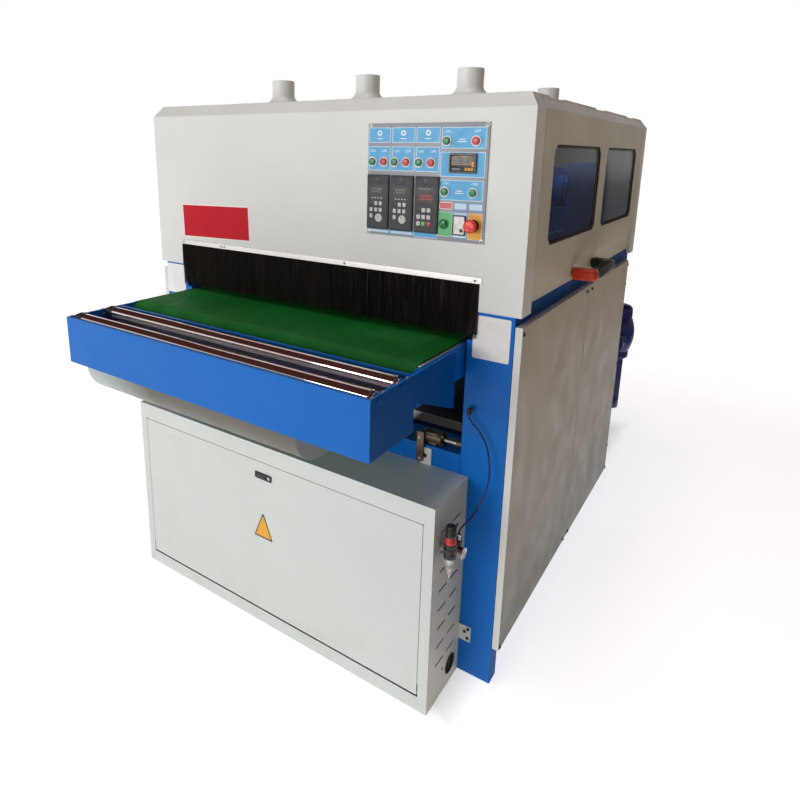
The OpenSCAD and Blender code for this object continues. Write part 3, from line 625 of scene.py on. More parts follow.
HOSE_ROUTE = [(0.737, -0.980, 0.656), (0.738, -0.979, 0.666), (0.744, -0.972, 0.681),
              (0.753, -0.957, 0.694), (0.763, -0.938, 0.708), (0.774, -0.917, 0.736),
              (0.785, -0.902, 0.770), (0.791, -0.894, 0.806), (0.793, -0.889, 0.840),
              (0.789, -0.883, 0.872), (0.781, -0.876, 0.903), (0.768, -0.870, 0.936),
              (0.749, -0.867, 0.966), (0.724, -0.866, 0.991), (0.706, -0.865, 1.006),
              (0.700, -0.865, 1.015), (0.699, -0.865, 1.024)]


def air_hose():
    """The thin hose from the regulator's outlet to the elbow on the front post."""
    curve = bpy.data.curves.new("hose_line", "CURVE")
    curve.dimensions = "3D"
    curve.bevel_depth, curve.bevel_resolution = 0.003, 4
    curve.use_fill_caps = True
    line = curve.splines.new("BEZIER")
    line.bezier_points.add(len(HOSE_ROUTE) - 1)
    for point, place in zip(line.bezier_points, HOSE_ROUTE):
        point.co = place
        point.handle_left_type = point.handle_right_type = "AUTO"
    line.resolution_u = 5
    curve.materials.append(HOSE)
    hose = show("hose", curve)
    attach(hose, "machine")
    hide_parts("air_hose")


air_hose()


# ---- sheet metal ----

PIN = 0.020  # length of the cabinet door's hinge pins


def shells():
    """The folded, welded and cast CAD nodes, with their edges rounded as real ones are."""
    # Side faces take shaded or lighter copies of the paint: painted shade and painted light, set by
    # the way a face points.
    for node in ("front_posts", "rear_posts", "crossbars", "top_rails", "base_rails",
                 "infeed_tray", "outfeed_tray", "brush_heads"):
        soften(node, BLUE, 0.003, SHADED_BLUE)
    for sides, nodes in ((LIT_HOOD_CREAM, ("hood_front", "hood_rear", "hood_roof")),
                         (SHADED_SIDE_CREAM, ("side_panels_left", "side_panels_right")),
                         (SHADE_TINTED_DOOR_CREAM, ("hood_door_left", "hood_door_right"))):
        for node in nodes:
            soften(node, CREAM, 0.0022, sides)
    # The rear panel's inner faces get the dark navy: painted shade inside the machine.
    soften("rear_panel", SHADED_SIDE_CREAM, 0.0022, PAINTED_SHADE_INSIDE, inward)
    # The cabinet's and the drip pan's side faces also take shaded copies: painted shade.
    soften("cabinet_body", CABINET, 0.0007, SHADED_CABINET_CREAM)
    soften("cabinet_door", CABINET, 0.0007, pins=PIN)
    soften("drip_pan", PAN, 0.0015, SHADED_PAN_END)
    soften("head_plates", BLUE, 0.002)
    soften("curtain_strips", STEEL, 0.0008)
    for node, material in (("conveyor_bed", BLUE), ("conveyor_belt", BELT), ("belt_drums", STEEL),
                           ("windows_left", FAR_PANE), ("windows_right", PANE)):
        NODES[node].data.materials.clear()
        NODES[node].data.materials.append(material)


shells()
POST, HOOD, ROOF, PANEL_BOX, SIDE, TRAY, DOOR, REAR = (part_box(node) for node in (
    "front_posts", "hood_front", "hood_roof", "control_panel", "side_panels_right",
    "infeed_tray", "cabinet_door", "rear_panel"))


def fasteners():
    """Screws of the side panels, rear panel, curtain strips and mounting tabs."""
    piece = Piece("panel_screws")
    low, high = SIDE
    seam_y = -0.039
    for side in (-1, 1):
        out, x = X * side, side * high.x
        for y in (low.y + 0.011, seam_y - 0.028, seam_y + 0.047, high.y - 0.012):
            for z in (high.z - 0.022, low.z + 0.012):
                piece.dome_screw((x, y, z), out, 6.2, PRINT_BLACK)
        for z in (0.30, 0.78, 1.22):
            piece.dome_screw((x, high.y - 0.012, z), out, 5, PRINT_BLACK)
        for z in (0.24, 0.60, 0.98, 1.18, 1.32):
            piece.hex_bolt((side * POST[1].x, high.y + 0.055, z), out, 7, WHITE)
    for x in (-0.64, -0.32, 0.0, 0.32, 0.64):
        for z in (REAR[0].z + 0.02, REAR[1].z - 0.02):
            piece.dome_screw((x, REAR[1].y, z), Y, 6, PRINT_BLACK)
    strip_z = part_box("curtain_strips")[1].z - 0.010
    for side in (-1, 1):
        for x in (-0.69, -0.457, -0.438, 0.18, 0.69):
            piece.dome_screw((x, side * (0.003 - HOOD[0].y), strip_z), Y * side, 4, BOLT, x * 7)
    piece.hex_bolt((0.534, POST[0].y - 0.004, 0.82), -Y, 6, PRINT_BLACK)
    for x, z in ((0.724, 0.176), (0.737, 0.19), (0.736, 0.152)):
        piece.hex_bolt((x, POST[0].y - 0.004, z), -Y, 4.8, PRINT_BLACK, x * 9)
    piece.finish("machine", "bare_steel")


def blank_plates():
    """The red plate over the mouth and the white plates on the posts, all left blank."""
    piece = Piece("blank_plates")
    mouth = wall((-0.4905, HOOD[0].y, 1.579), -Y) @ turn(0.026)
    piece.pad((397, 143, 4), 0.6, STICKER, mouth)
    piece.pad((387, 133, 2), 1.0, RED_PLATE, mouth)
    for x, z, size in ((0.752, 1.293, (126, 145, 6)), (-0.7665, 1.303, (120, 133, 6))):
        piece.pad(size, 0.6, STICKER, wall((x, POST[0].y, z), -Y))
    piece.finish("machine", "white_plastic")
    sign = Piece("blank_triangle")
    spot = wall((-0.033, DOOR[0].y, 0.434), -Y)
    outline = [(-0.046, -0.036), (-0.044, -0.040), (0.044, -0.040), (0.046, -0.036),
               (0.003, 0.065), (-0.003, 0.065)]
    sign.prism(outline, 0.0006, PRINT_BLACK, spot)
    sign.prism([(x * 0.84, y * 0.84) for x, y in outline], 0.0009, YELLOW, spot)
    sign.finish("cabinet_door", "cream_paint")


fasteners()
blank_plates()


# ---- hood ----

def window_outline(by):
    """A window's outline with cut corners, grown or shrunk."""
    w, h, cut = 0.306 + by, 0.162 + by, 0.025
    return [(w, h - cut), (w - cut, h), (cut - w, h), (-w, h - cut), (-w, cut - h),
            (cut - w, -h), (w - cut, -h), (w, cut - h)]


def window_seals():
    """Rubber strips round both windows of each hood door."""
    inner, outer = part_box("windows_right")
    z = (inner.z + outer.z) / 2
    for side, name in ((-1, "left"), (1, "right")):
        piece = Piece("window_seals_" + name)
        for y in (-0.3525, 0.3525):
            piece.frame_ring(window_outline(0.0), window_outline(-0.006), 0.0035, RUBBER,
                             wall((side * outer.x, y, z), X * side))
            piece.frame_ring(window_outline(0.012), window_outline(-0.01), 0.003, RUBBER,
                             wall((side * inner.x, y, z), X * -side))
        piece.finish("hood_door_" + name, "black_plastic")


def door_handle(side, name):
    """A pull bar with an orange hand guard at its front end."""
    low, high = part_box("door_handle_right")
    piece = Piece("handle_" + name)
    root, front, z0 = low + Vector((MM, MM, MM))
    out, back, z1 = high - Vector((MM, MM, MM))
    guard = front + 0.050
    x0, x1 = sorted((side * root, side * out))
    piece.box((x0, front, z0), (x1, guard, z1), ORANGE, 0.017, segments=6)
    outline = [(out - 0.033, guard - 0.004), (out - 0.002, guard - 0.004),
               (out - 0.002, back - 0.03), (out - 0.02, back), (root, back), (root, back - 0.05),
               (out - 0.07, back - 0.05), (out - 0.033, back - 0.09)]
    piece.prism([(x * side, y) for x, y in outline], z1 - z0 - 0.007, BLACK,
                move(0, 0, z0 + 0.004), 0.008)
    for y in (front + 0.014, back - 0.012, back - 0.040):
        piece.dome_screw((side * (root + 0.014), y, z1 - 0.0005), Z, 4.2)
    x = side * (out - 0.018)
    for i in range(8):
        y = guard + 0.05 + i * 0.024
        piece.box((x - 0.012, y, z1 - 0.0035), (x + 0.012, y + 0.012, z1 - 0.0015), RUBBER)
    piece.finish("hood_door_" + name, "black_plastic", ("door_handle_" + name,))


def dust_ports():
    """Round stubs, each on a welded cone."""
    piece = Piece("port_stubs")
    base = ROOF[1].z
    rise = (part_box("dust_ports")[1].z - base) / MM
    for x, y in (place[:2] for name, place in MOUNTS.items() if name.startswith("duct")):
        spot = move(x, y, base)
        piece.lathe([(41, 0), (69.5, 0), (69.8, 1.5), (68, 3.5), (64, 6), (56, 13), (50, 19.5),
                     (46.2, 25), (44.6, 29), (43.8, 33), (43.8, rise - 6), (43.4, rise - 1),
                     (42.6, rise), (41.5, rise - 1), (41, rise - 6), (41, 0.5), (41, 0)],
                    PORT, spot, 64)
        piece.lathe([(40.8, -19), (40.8, 4), (39.6, 4), (39.6, -19), (40.8, -19)], STEEL, spot, 64)
        piece.bit((42.5, -1.5, 32), (44.1, 1.5, rise - 4), PORT, spot @ turn(2.2 + x), 0.5)
    piece.finish("machine", "white_plastic", ("dust_ports",))
    eye = Piece("roof_nipple")
    eye.lathe([(13, 0), (13, 4), (9, 7), (6, 16), (4.2, 26), (0, 28)], PORT,
              move(0.545, -0.240, base), 20)
    eye.finish("machine", "white_plastic")


def curtain(end, name, replaces):
    """A dense row of hanging nylon bristles in front of a thin dark backing."""
    low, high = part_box("bristle_curtains")
    chance = random.Random(41 if end < 0 else 43)
    margin, depth, strand_count = 0.002, 0.012, 1500
    piece = Piece("curtain_" + name)
    part = bmesh.new()
    for i in range(strand_count):
        x = low.x + margin + (high.x - low.x - 2 * margin) * (i + chance.random()) / strand_count
        y = high.y - 0.0012 - chance.random() * 0.006
        lean = chance.gauss(0.0, 0.0016)
        swing = chance.gauss(0.0, 0.0010)
        width = chance.uniform(0.0009, 0.0019)
        bottom = low.z + abs(chance.gauss(0.0, 0.0028))
        rings = []
        for step, share in ((0.0, 1.0), (0.45, 0.95), (1.0, 0.55)):
            mid_x = max(low.x + margin, min(high.x - margin, x + lean * step * step))
            mid_y = min(high.y - 0.001, y + swing * step)
            rings.append([part.verts.new((mid_x + dx * width * share,
                                          end * (mid_y + dy * width * share),
                                          high.z + (bottom - high.z) * step))
                          for dx, dy in ((-0.5, -0.3), (0.5, -0.3), (0.0, 0.5))])
        skin(part, rings)
    piece.add(part, BRISTLE)
    back, front = sorted((end * (high.y - depth + 0.0002), end * (high.y - 0.0075)))
    piece.box((low.x, back, low.z + 0.012), (high.x, front, high.z), BRISTLE)
    piece.finish("machine", "bristle", replaces, 60)


window_seals()
door_handle(-1, "left")
door_handle(1, "right")
dust_ports()
curtain(-1, "front", ("bristle_curtains",))
curtain(1, "rear", ())


# ---- rollers, trays and conveyor ----

def tray_roller(node):
    """A chromed roll on journals with collars."""
    low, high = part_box(node)
    middle = (low + high) / 2
    r, half = (high.z - low.z) / 2 / MM, (high.x - low.x) / 2 / MM
    end = 650
    piece = Piece(node + "_chromed")
    profile = [(0, -half), (7, -half), (8, 1 - half), (8, -end - 8), (12.5, -end - 8),
               (12.5, -end - 1), (r * 0.55, -end - 1), (r - 2, -end), (r, 2 - end)]
    face = [(r, -end + 2 * end * i / 12) for i in range(1, 12)]
    piece.lathe(profile + face + [(x, -h) for x, h in reversed(profile)], CHROME,
                facing(middle, X), 64)
    piece.lathe([(r, 0), (r + 1.2, 1), (r + 1.2, 30), (r, 31), (r, 0)], BLACK,
                facing(middle - X * end * MM, X), 48)
    for side in (-1, 1):
        x = side * (end - 0.5)
        piece.bit((x - 1.2, -3.5, r * 0.62), (x + 1.2, 3.5, r * 0.8), PRINT_BLACK, move(middle),
                  0.3)
    piece.finish(BODY_OF[node], "chrome_roll", (node,), 30)


def tray_fittings(end, name):
    """Bearings, bearing bolts and floor plate of one roller tray."""
    low, high = TRAY
    piece = Piece(name + "_tray_fittings")
    inner_x = high.x - 0.012
    for node in (name + "_roller_outer", name + "_roller_inner"):
        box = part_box(node)
        y, z = (box[0].y + box[1].y) / 2, (box[0].z + box[1].z) / 2
        for side in (-1, 1):
            piece.lathe([(8.6, 0), (17.5, 0), (17.5, 1.8), (15, 2.4), (15, 3.2), (8.6, 3.2),
                         (8.6, 0)], BOLT, facing((side * inner_x, y, z), X * -side), 32)
            # The outer bearing caps take the shaded blue: painted shade.
            piece.lathe([(13.5, 0), (13.5, 1.2), (12.2, 2.2), (0, 2.6)], SHADED_BLUE,
                        facing((side * high.x, y, z), X * side), 28)
            for dy in (-0.026, 0.026):
                piece.hex_bolt((side * (inner_x - 0.0002), y + dy, z - 0.004), X * -side, 4.5,
                               BOLT, dy * 40)
                piece.hex_bolt((side * (high.x - 0.006), y + dy, high.z), Z, 4.2, BOLT, dy)
    y0, y1 = sorted((end * (-low.y - 0.0125), end * 1.2175))
    piece.box((-inner_x + 0.0004, y0, 1.2221), (inner_x - 0.0004, y1, 1.2236), TRAY_FLOOR, 0.0005)
    piece.finish("machine", "bare_steel")


def conveyor_trim():
    """Bare steel edge strips beside the belt, their screws, and the caps of the drums."""
    piece = Piece("belt_edge_strips")
    edge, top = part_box("conveyor_bed")[1].xz
    low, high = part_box("belt_drums")
    z = (low.z + high.z) / 2
    for side in (-1, 1):
        out = X * side
        x0, x1 = sorted((side * (edge - 0.008), side * edge))
        for y0, y1 in ((-1.150, -0.860), (0.860, 1.150)):
            piece.box((x0, y0, top), (x1, y1, top + 0.0035), STEEL_Y, 0.0008)
            for share in (0.1, 0.5, 0.9):
                piece.dome_screw(((x0 + x1) / 2, y0 + share * (y1 - y0), top + 0.0035), Z, 2.6)
        for end in (-1, 1):
            y = end * (high.y - (high.z - low.z) / 2)
            piece.lathe([(0, 0), (34, 0), (34, 4), (30, 6.2), (21, 6.4), (20, 4.5), (0, 4.5)],
                        BLACK, facing((side * edge, y, z), out), 40)
            for k in range(4):
                angle = math.pi / 4 + k * math.pi / 2
                piece.hex_bolt((side * (edge + 0.004), y + 0.027 * math.cos(angle),
                                z + 0.027 * math.sin(angle)), out, 2.8, BOLT, angle)
    piece.finish("machine", "bare_steel")


for roller in ("infeed_roller_outer", "infeed_roller_inner", "outfeed_roller_outer",
               "outfeed_roller_inner"):
    tray_roller(roller)
tray_fittings(-1, "infeed")
tray_fittings(1, "outfeed")
conveyor_trim()


# ---- control panel ----

def on_panel(u, v, depth=0.0):
    """A place on the control panel's face, u and v millimetres from its lower left corner."""
    corner = PANEL_BOX[0]
    return Vector((corner.x + u * MM, corner.y - depth * MM, corner.z + v * MM))


def on_face(u, v, depth=0.0):
    """The transform of a flat shape there."""
    return wall(on_panel(u, v, depth), -Y)


def block(piece, low, high, out, material, back=0.0, bevel=0.0):
    """A box on the panel between two (u, v) corners, from back to out in front of its face."""
    piece.box(on_panel(*low, out), on_panel(*high, back), material, bevel * MM)


def field(piece, u0, v0, u1, v1, fill, border=PALE, margin=2.6):
    """A printed field with a pale border round it."""
    spot = on_face((u0 + u1) / 2, (v0 + v1) / 2)
    piece.pad((u1 - u0, v1 - v0, 3), 0.42, border, spot)
    piece.pad((u1 - u0 - 2 * margin, v1 - v0 - 2 * margin, 2), 0.7, fill, spot)


def panel_plate():
    """The panel with its printed fields, symbols, labels and corner screws."""
    piece = Piece("control_plate")
    piece.box(*PANEL_BOX, PANEL, 0.0012)

    def on_off(places):
        for u, v, words in places:
            piece.text(words, 0.0125, PRINT_WHITE, on_face(u, v, 0.8))

    for left, right in ((3.5, 89), (95, 181), (186, 271)):
        field(piece, left, 308, right, 357, SKY)
        field(piece, left, 217, right, 296, SKY)
        middle = (left + right) / 2
        ring = facing(on_panel(middle, 339, 0.7), -Y)
        piece.lathe([(4.5, 0), (8.5, 0), (8.5, 0.3), (4.5, 0.3), (4.5, 0)], PRINT_WHITE, ring)
        for spoke in around(ring, 8):
            piece.bit((8.5, -1, 0), (10.2, 1, 0.3), PRINT_WHITE, spoke)
        block(piece, (middle - 11, 319.6), (middle + 11, 322.4), 1.0, PRINT_WHITE, 0.6)
        on_off(((left + 18, 281, "ON"), (left + 62, 281, "OFF")))
    for area in ((277, 291, 427, 356), (275, 204, 427, 281), (275, 131, 425, 195)):
        field(piece, *area, SKY)
    on_off(((298, 343, "ON"), (396, 343, "OFF"), (297, 183.5, "ON"), (396, 183.5, "OFF")))
    for u, v in ((346, 316), (345, 158)):
        block(piece, (u - 15, v - 5), (u + 15, v - 2.4), 1.0, PRINT_WHITE, 0.6)
        block(piece, (u - 10, v + 2), (u + 10, v + 4.6), 1.0, PRINT_WHITE, 0.6)
    for area, fill, border, margin in (
            ((278, 102, 323, 125), LABEL_RED, STICKER, 2.2), ((329, 102, 374, 125), PALE, SKY, 2.2),
            ((380, 102, 427, 125), PALE, SKY, 2.2), ((276, 15, 325, 94), GREEN_PLATE, PALE, 1.6),
            ((327, 13, 377, 95), PALE, SKY, 1.6), ((379, 11, 428, 95), YELLOW, PALE, 1.6),
            ((187, 4, 273, 22), SKY, PALE, 2.0), ((4, 8, 91, 18), PALE, SKY, 1.4),
            ((95, 8, 183, 18), PALE, SKY, 1.4)):
        field(piece, *area, fill, border, margin)
    for u in (8, 428):
        for v in (8, 362):
            piece.dome_screw(on_panel(u, v), -Y, 5.2, BOLT, u)
    piece.finish("machine", "panel_grey", ("control_panel",))


def push_buttons(piece, places, cap):
    """Round push buttons: pale ring, dark gap and a shallow domed cap."""
    for u, v in places:
        spot = facing(on_panel(u, v), -Y)
        piece.lathe([(16.8, 0), (16.8, 3), (16.2, 4.4), (15, 5), (13.4, 4.7), (12.8, 3.6),
                     (0, 3.6)], STICKER, spot, 40)
        piece.lathe([(11.6, 3.6), (11.8, 9.8), (11.2, 11), (9.4, 11.7), (5, 11.95), (0, 12)],
                    cap, spot, 40)


def green_buttons():
    """The green push buttons and the green selector switch."""
    piece = Piece("green_push_buttons")
    push_buttons(piece, ((21, 246), (107, 246), (199, 246), (295, 314), (295, 157), (392, 157)),
                 GREEN)
    u, v = 296, 55
    spot = facing(on_panel(u, v), -Y)
    piece.lathe([(16.8, 0), (16.8, 3.4), (15.6, 4.8), (14.6, 5), (14, 4.2), (0, 4.2)], GREEN,
                spot, 40)
    piece.lathe([(12.8, 4.2), (12.2, 7.8), (11, 8.6), (0, 8.8)], GREEN, spot, 32)
    handle = on_face(u, v, 8.2) @ turn(-0.7)
    piece.bit((-4.2, -11.2, 0), (4.2, 11.2, 3.6), GREEN, handle, 1.4)
    piece.bit((-0.8, 3, 3.4), (0.8, 10.5, 3.8), PRINT_WHITE, handle)
    piece.finish("machine", "button_green", ("green_buttons",))


def red_buttons():
    """The red push buttons and the mushroom stop button."""
    piece = Piece("red_push_buttons")
    push_buttons(piece, ((65, 246), (151, 246), (243, 246), (394, 314)), RED)
    spot = facing(on_panel(398, 56), -Y)
    piece.lathe([(19.5, 0), (19.5, 1.6), (18, 2.8), (15, 3), (0, 3)], BLACK, spot, 40)
    piece.lathe([(13.8, 3), (13.2, 19), (14.6, 20), (0, 20)], STOP_RED, spot, 40)
    piece.lathe([(0, 19.8), (15, 20), (20.5, 21.6), (21.8, 24), (21.9, 27.2), (20.8, 30.4),
                 (18, 32.8), (16.2, 33.6), (15, 33.2), (12, 34), (6, 34.8), (0, 35)], STOP_RED,
                spot, 48)
    for arrow in around(spot, 3):
        piece.bit((8.5, -0.8, 33.8), (13.5, 0.8, 34.7), PRINT_WHITE, arrow, 0.2)
    piece.finish("machine", "button_red", ("red_buttons",))


def seven_segments(piece, digits, spot, h, material):
    """Digits of a segment display, h mm high, written from the left end at spot."""
    w, bar = h * 0.5, h * 0.12
    strokes = {"0": "abcdef", "1": "bc", "3": "abgcd", "5": "afgcd"}
    bars = {"a": (0, h, w, h), "b": (w, h / 2, w, h), "c": (w, 0, w, h / 2), "d": (0, 0, w, 0),
            "e": (0, 0, 0, h / 2), "f": (0, h / 2, 0, h), "g": (0, h / 2, w, h / 2)}
    for index, digit in enumerate(digits):
        start = index * h * 0.78
        for stroke in strokes[digit]:
            x0, y0, x1, y1 = bars[stroke]
            piece.bit((start + x0 - bar / 2, y0 - bar / 2, 0),
                      (start + x1 + bar / 2, y1 + bar / 2, 0.3), material, spot)


def speed_drive(piece, left, red):
    """One frequency drive with display and keys, and with red digits or a dial."""
    low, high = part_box("speed_drives")
    base, front = 20, (high.y - low.y) / MM - 1.4

    def spot(u, v, rise=0.0):
        return on_face(left + u, base + v, front + rise)

    block(piece, (left, base), (left + 86, base + 183), front, DRIVE, 0.0, 3.5)
    piece.pad((76, 168, 6), 0.5, DRIVE, spot(43, 90))
    piece.lathe([(9.2, 0), (9.2, 0.6), (8.4, 1.3), (0, 1.4)], DRIVE_DARK, spot(40, 168), 28)
    screen = spot(40, 124)
    piece.pad((66, 52, 8), 0.8, DRIVE_DARK, screen)
    if red:
        for k in range(5):
            piece.bit((9 * k - 22, 17, 0.8), (9 * k - 18, 21, 1), LCD_MARK, screen)
        seven_segments(piece, "5000", spot(22, 109, 0.9), 14.5, LED_RED)
        width, keys = 13.5, [(u, v) for v in (75, 52.5, 30.5) for u in (17, 35, 54)]
        odd_keys = {(17, 75): DRIVE_DARK, (54, 30.5): RED, (35, 30.5): GREEN_PLATE}
    else:
        piece.pad((52, 21, 2), 1, DISPLAY, spot(41, 132))
        seven_segments(piece, "0000", spot(20, 125, 1.1), 13.5, LCD_MARK)
        for k in range(4):
            piece.bit((12 * k - 20, -20, 0.8), (12 * k - 14, -17, 1), KEY, screen)
        width, keys = 11.5, [(u, v) for v in (87.5, 66) for u in (19, 38, 56)] + [(19, 44.5)]
        odd_keys = {(19, 87.5): DRIVE_DARK}
    for key in keys:
        piece.pad((width, 13.5, 2.5), 1.4, odd_keys.get(key, KEY), spot(*key), 0.3, 3)
    if red:
        return
    dial = spot(49, 38.5)
    piece.lathe([(14.2, 0), (14.2, 0.5), (11.8, 0.8), (11.2, 1.3), (0, 1.4)], KEY, dial, 36)
    piece.bit((-0.9, 2, 1.3), (0.9, 10.5, 1.45), PRINT_BLACK, dial @ turn(0.6))
    for k in range(11):
        piece.bit((-0.3, 12.2, 0.5), (0.3, 13.6, 0.7), PRINT_BLACK,
                  dial @ turn(math.radians(28 * k - 140)))


def speed_drives():
    """Three frequency drives; the third has red digits."""
    piece = Piece("drive_fronts")
    for left, red in ((3, False), (96, False), (190, True)):
        speed_drive(piece, left, red)
    piece.finish("machine", "drive_grey", ("speed_drives",))


def panel_meters():
    """A counter with keys, and a dial meter with a plain numbered scale."""
    piece = Piece("meter_fronts")
    block(piece, (307, 216), (400, 277), 5.6, METER, 0.0, 2)
    piece.rim((91, 59, 3), (83, 51, 2), 2.2, METER, on_face(353.5, 246.5, 5.6))
    piece.pad((63, 25, 1.5), 0.6, YELLOW, on_face(349, 254.5, 5.6))
    piece.pad((60.5, 22.5, 1), 0.8, DISPLAY, on_face(349, 254.5, 5.6))
    seven_segments(piece, "0013", on_face(326, 247.5, 6.5), 13.5, LCD_MARK)
    for u, v, height in ((366, 229, 8.8), (376, 229, 8.8), (386, 229, 8.8), (388, 244, 16)):
        piece.pad((7.8, height, 2), 1.4, YELLOW, on_face(u, v, 5.6), 0.3, 3)
    block(piece, (318, 228), (345, 230), 6.0, KEY, 5.5)
    block(piece, (329, 22), (373, 86), 4.6, METER, 0.0, 2)
    face = on_face(351, 54, 4.6)
    piece.rim((43.5, 63.5, 3), (37, 56, 2), 2.2, METER, face)
    piece.pad((37, 56, 1), 0.4, STICKER, face)
    hub = face @ move(0.009, -0.016, 0.0004)
    angles = [math.radians(8 + 8.5 * k) for k in range(11)]
    for k, angle in enumerate(angles):
        piece.bit((-0.35, 22.5, 0), (0.35, 24.6 if k % 5 else 26.2, 0.2), PRINT_BLACK,
                  hub @ turn(angle))
    for k in (0, 5, 10):
        place = (-0.0295 * math.sin(angles[k]), 0.0295 * math.cos(angles[k]), 0)
        piece.text(str(k), 0.0055, PRINT_BLACK, hub @ move(place), 0.0002)
    piece.bit((-0.4, 0, 0.6), (0.4, 23.5, 1), PRINT_BLACK, hub @ turn(math.radians(70)))
    piece.lathe([(5.8, 0), (5.8, 1.2), (4.5, 1.8), (0, 1.9)], BLACK, hub)
    piece.finish("machine", "meter_black", ("panel_meters",))


panel_plate()
green_buttons()
red_buttons()
speed_drives()
panel_meters()


# ---- cabinet and air supply ----

def door_latch():
    """The flush latch and its keyhole."""
    low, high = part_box("cabinet_latch")
    wide, deep, tall = (high - low) / MM
    piece = Piece("latch_plate")
    spot = wall(((low.x + high.x) / 2, high.y, (low.z + high.z) / 2), -Y)
    piece.pad((wide, tall, 6), deep * 0.5, BLACK, spot, 0.4)
    piece.rim((wide - 4, tall - 4, 5), (wide - 9, tall - 9, 4), deep * 0.95, BLACK, spot)
    front = spot @ move(0, 0, deep * 0.5 * MM)
    piece.pad((50, 17, 4), deep * 0.45, BLACK, front @ move(-0.012, 0, 0), 0.4)
    piece.lathe([(6.4, 0), (6.4, deep * 0.45), (5, deep * 0.48), (0, deep * 0.48)], BOLT,
                front @ move(0.028, 0, 0), 20)
    piece.finish("cabinet_door", "black_plastic", ("cabinet_latch",))


def door_lip():
    """Strips that narrow the gap round the cabinet's door, which stands in between its pins."""
    piece = Piece("cabinet_door_lip")
    (left, front, bottom), (right, _, top) = DOOR
    left, right = left + PIN, right - PIN
    near, wide, back = 0.0018, 0.0048, front + 0.008
    for low, high in (((left - wide, bottom + 0.045), (left - near, top)),
                      ((right + near, bottom + 0.045), (right + wide, top)),
                      ((left, top + near), (right, top + wide))):
        piece.box((low[0], front + 0.0006, low[1]), (high[0], back, high[1]), CABINET, 0.0003)
    piece.finish("machine", "cream_paint")


def cabinet_details():
    """Cut holes in the cabinet's side and the cable grommet."""
    piece = Piece("cabinet_details")
    x, cable_y, cable_z = MOUNTS["cable_entry"]
    x += 0.0015
    for y, z, r in ((-0.916, 0.64, 8.5), (-0.976, 0.102, 6.2), (-1.000, 0.667, 4)):
        piece.lathe([(0, 0), (r, 0), (r, 0.5), (0, 0.6)], PRINT_BLACK, facing((x, y, z), X), 20)
    piece.lathe([(33, -4), (35.8, -4), (35.8, 0), (37.5, 0), (37, 1.2), (34.5, 1.4), (33, 0.6),
                 (33, -4)], RUBBER, facing((x, cable_y, cable_z), X), 40)
    piece.finish("machine", "black_plastic")


def gauge(piece, dial):
    """A round pressure gauge with a plain scale and a red hand."""
    piece.lathe([(0, 0), (16, 0), (20, 3), (20.5, 6), (20.5, 20), (21, 20.8), (21, 25),
                 (20, 25.9), (18.6, 25.6), (18, 24.2), (0, 24)], CHROME, dial, 48)
    piece.lathe([(0, 23.9), (17.8, 23.9), (17.8, 24.3), (0, 24.4)], STICKER, dial, 40)
    angles = [math.radians(27 * k - 135) for k in range(11)]
    for k, angle in enumerate(angles):
        piece.bit((-0.3, 13.5 if k % 5 else 11.8, 24.3), (0.3, 16.2, 24.6), PRINT_BLACK,
                  dial @ turn(angle))
    for k in (0, 5, 10):
        place = (-0.0092 * math.sin(angles[k]), 0.0092 * math.cos(angles[k]), 0.0243)
        piece.text(str(k), 0.0042, PRINT_BLACK, dial @ move(place), 0.0002)
    piece.bit((-0.5, -4, 24.6), (0.5, 12.5, 25), RED, dial @ turn(math.radians(35)))
    piece.lathe([(2.2, 24.3), (2.2, 25.3), (0, 25.5)], PRINT_BLACK, dial, 14)


def hose_elbow(piece):
    """The push-in elbow on the front post where the hose ends."""
    x, y, z = HOSE_ROUTE[-1]
    piece.lathe([(0, 0.2), (5.2, 0.2), (7, 0.8), (8.6, 3), (8.8, 11), (7.8, 12), (7.8, 20),
                 (6.2, 25), (0, 25.8)], BLACK, move(x, y, z), 28)
    piece.lathe([(7.8, 0), (7.8, 5), (6, 6.6), (6, 10), (8, 10.5), (8, 19.8)], BRASS,
                facing((x, y, z + 0.014), Y), 6)


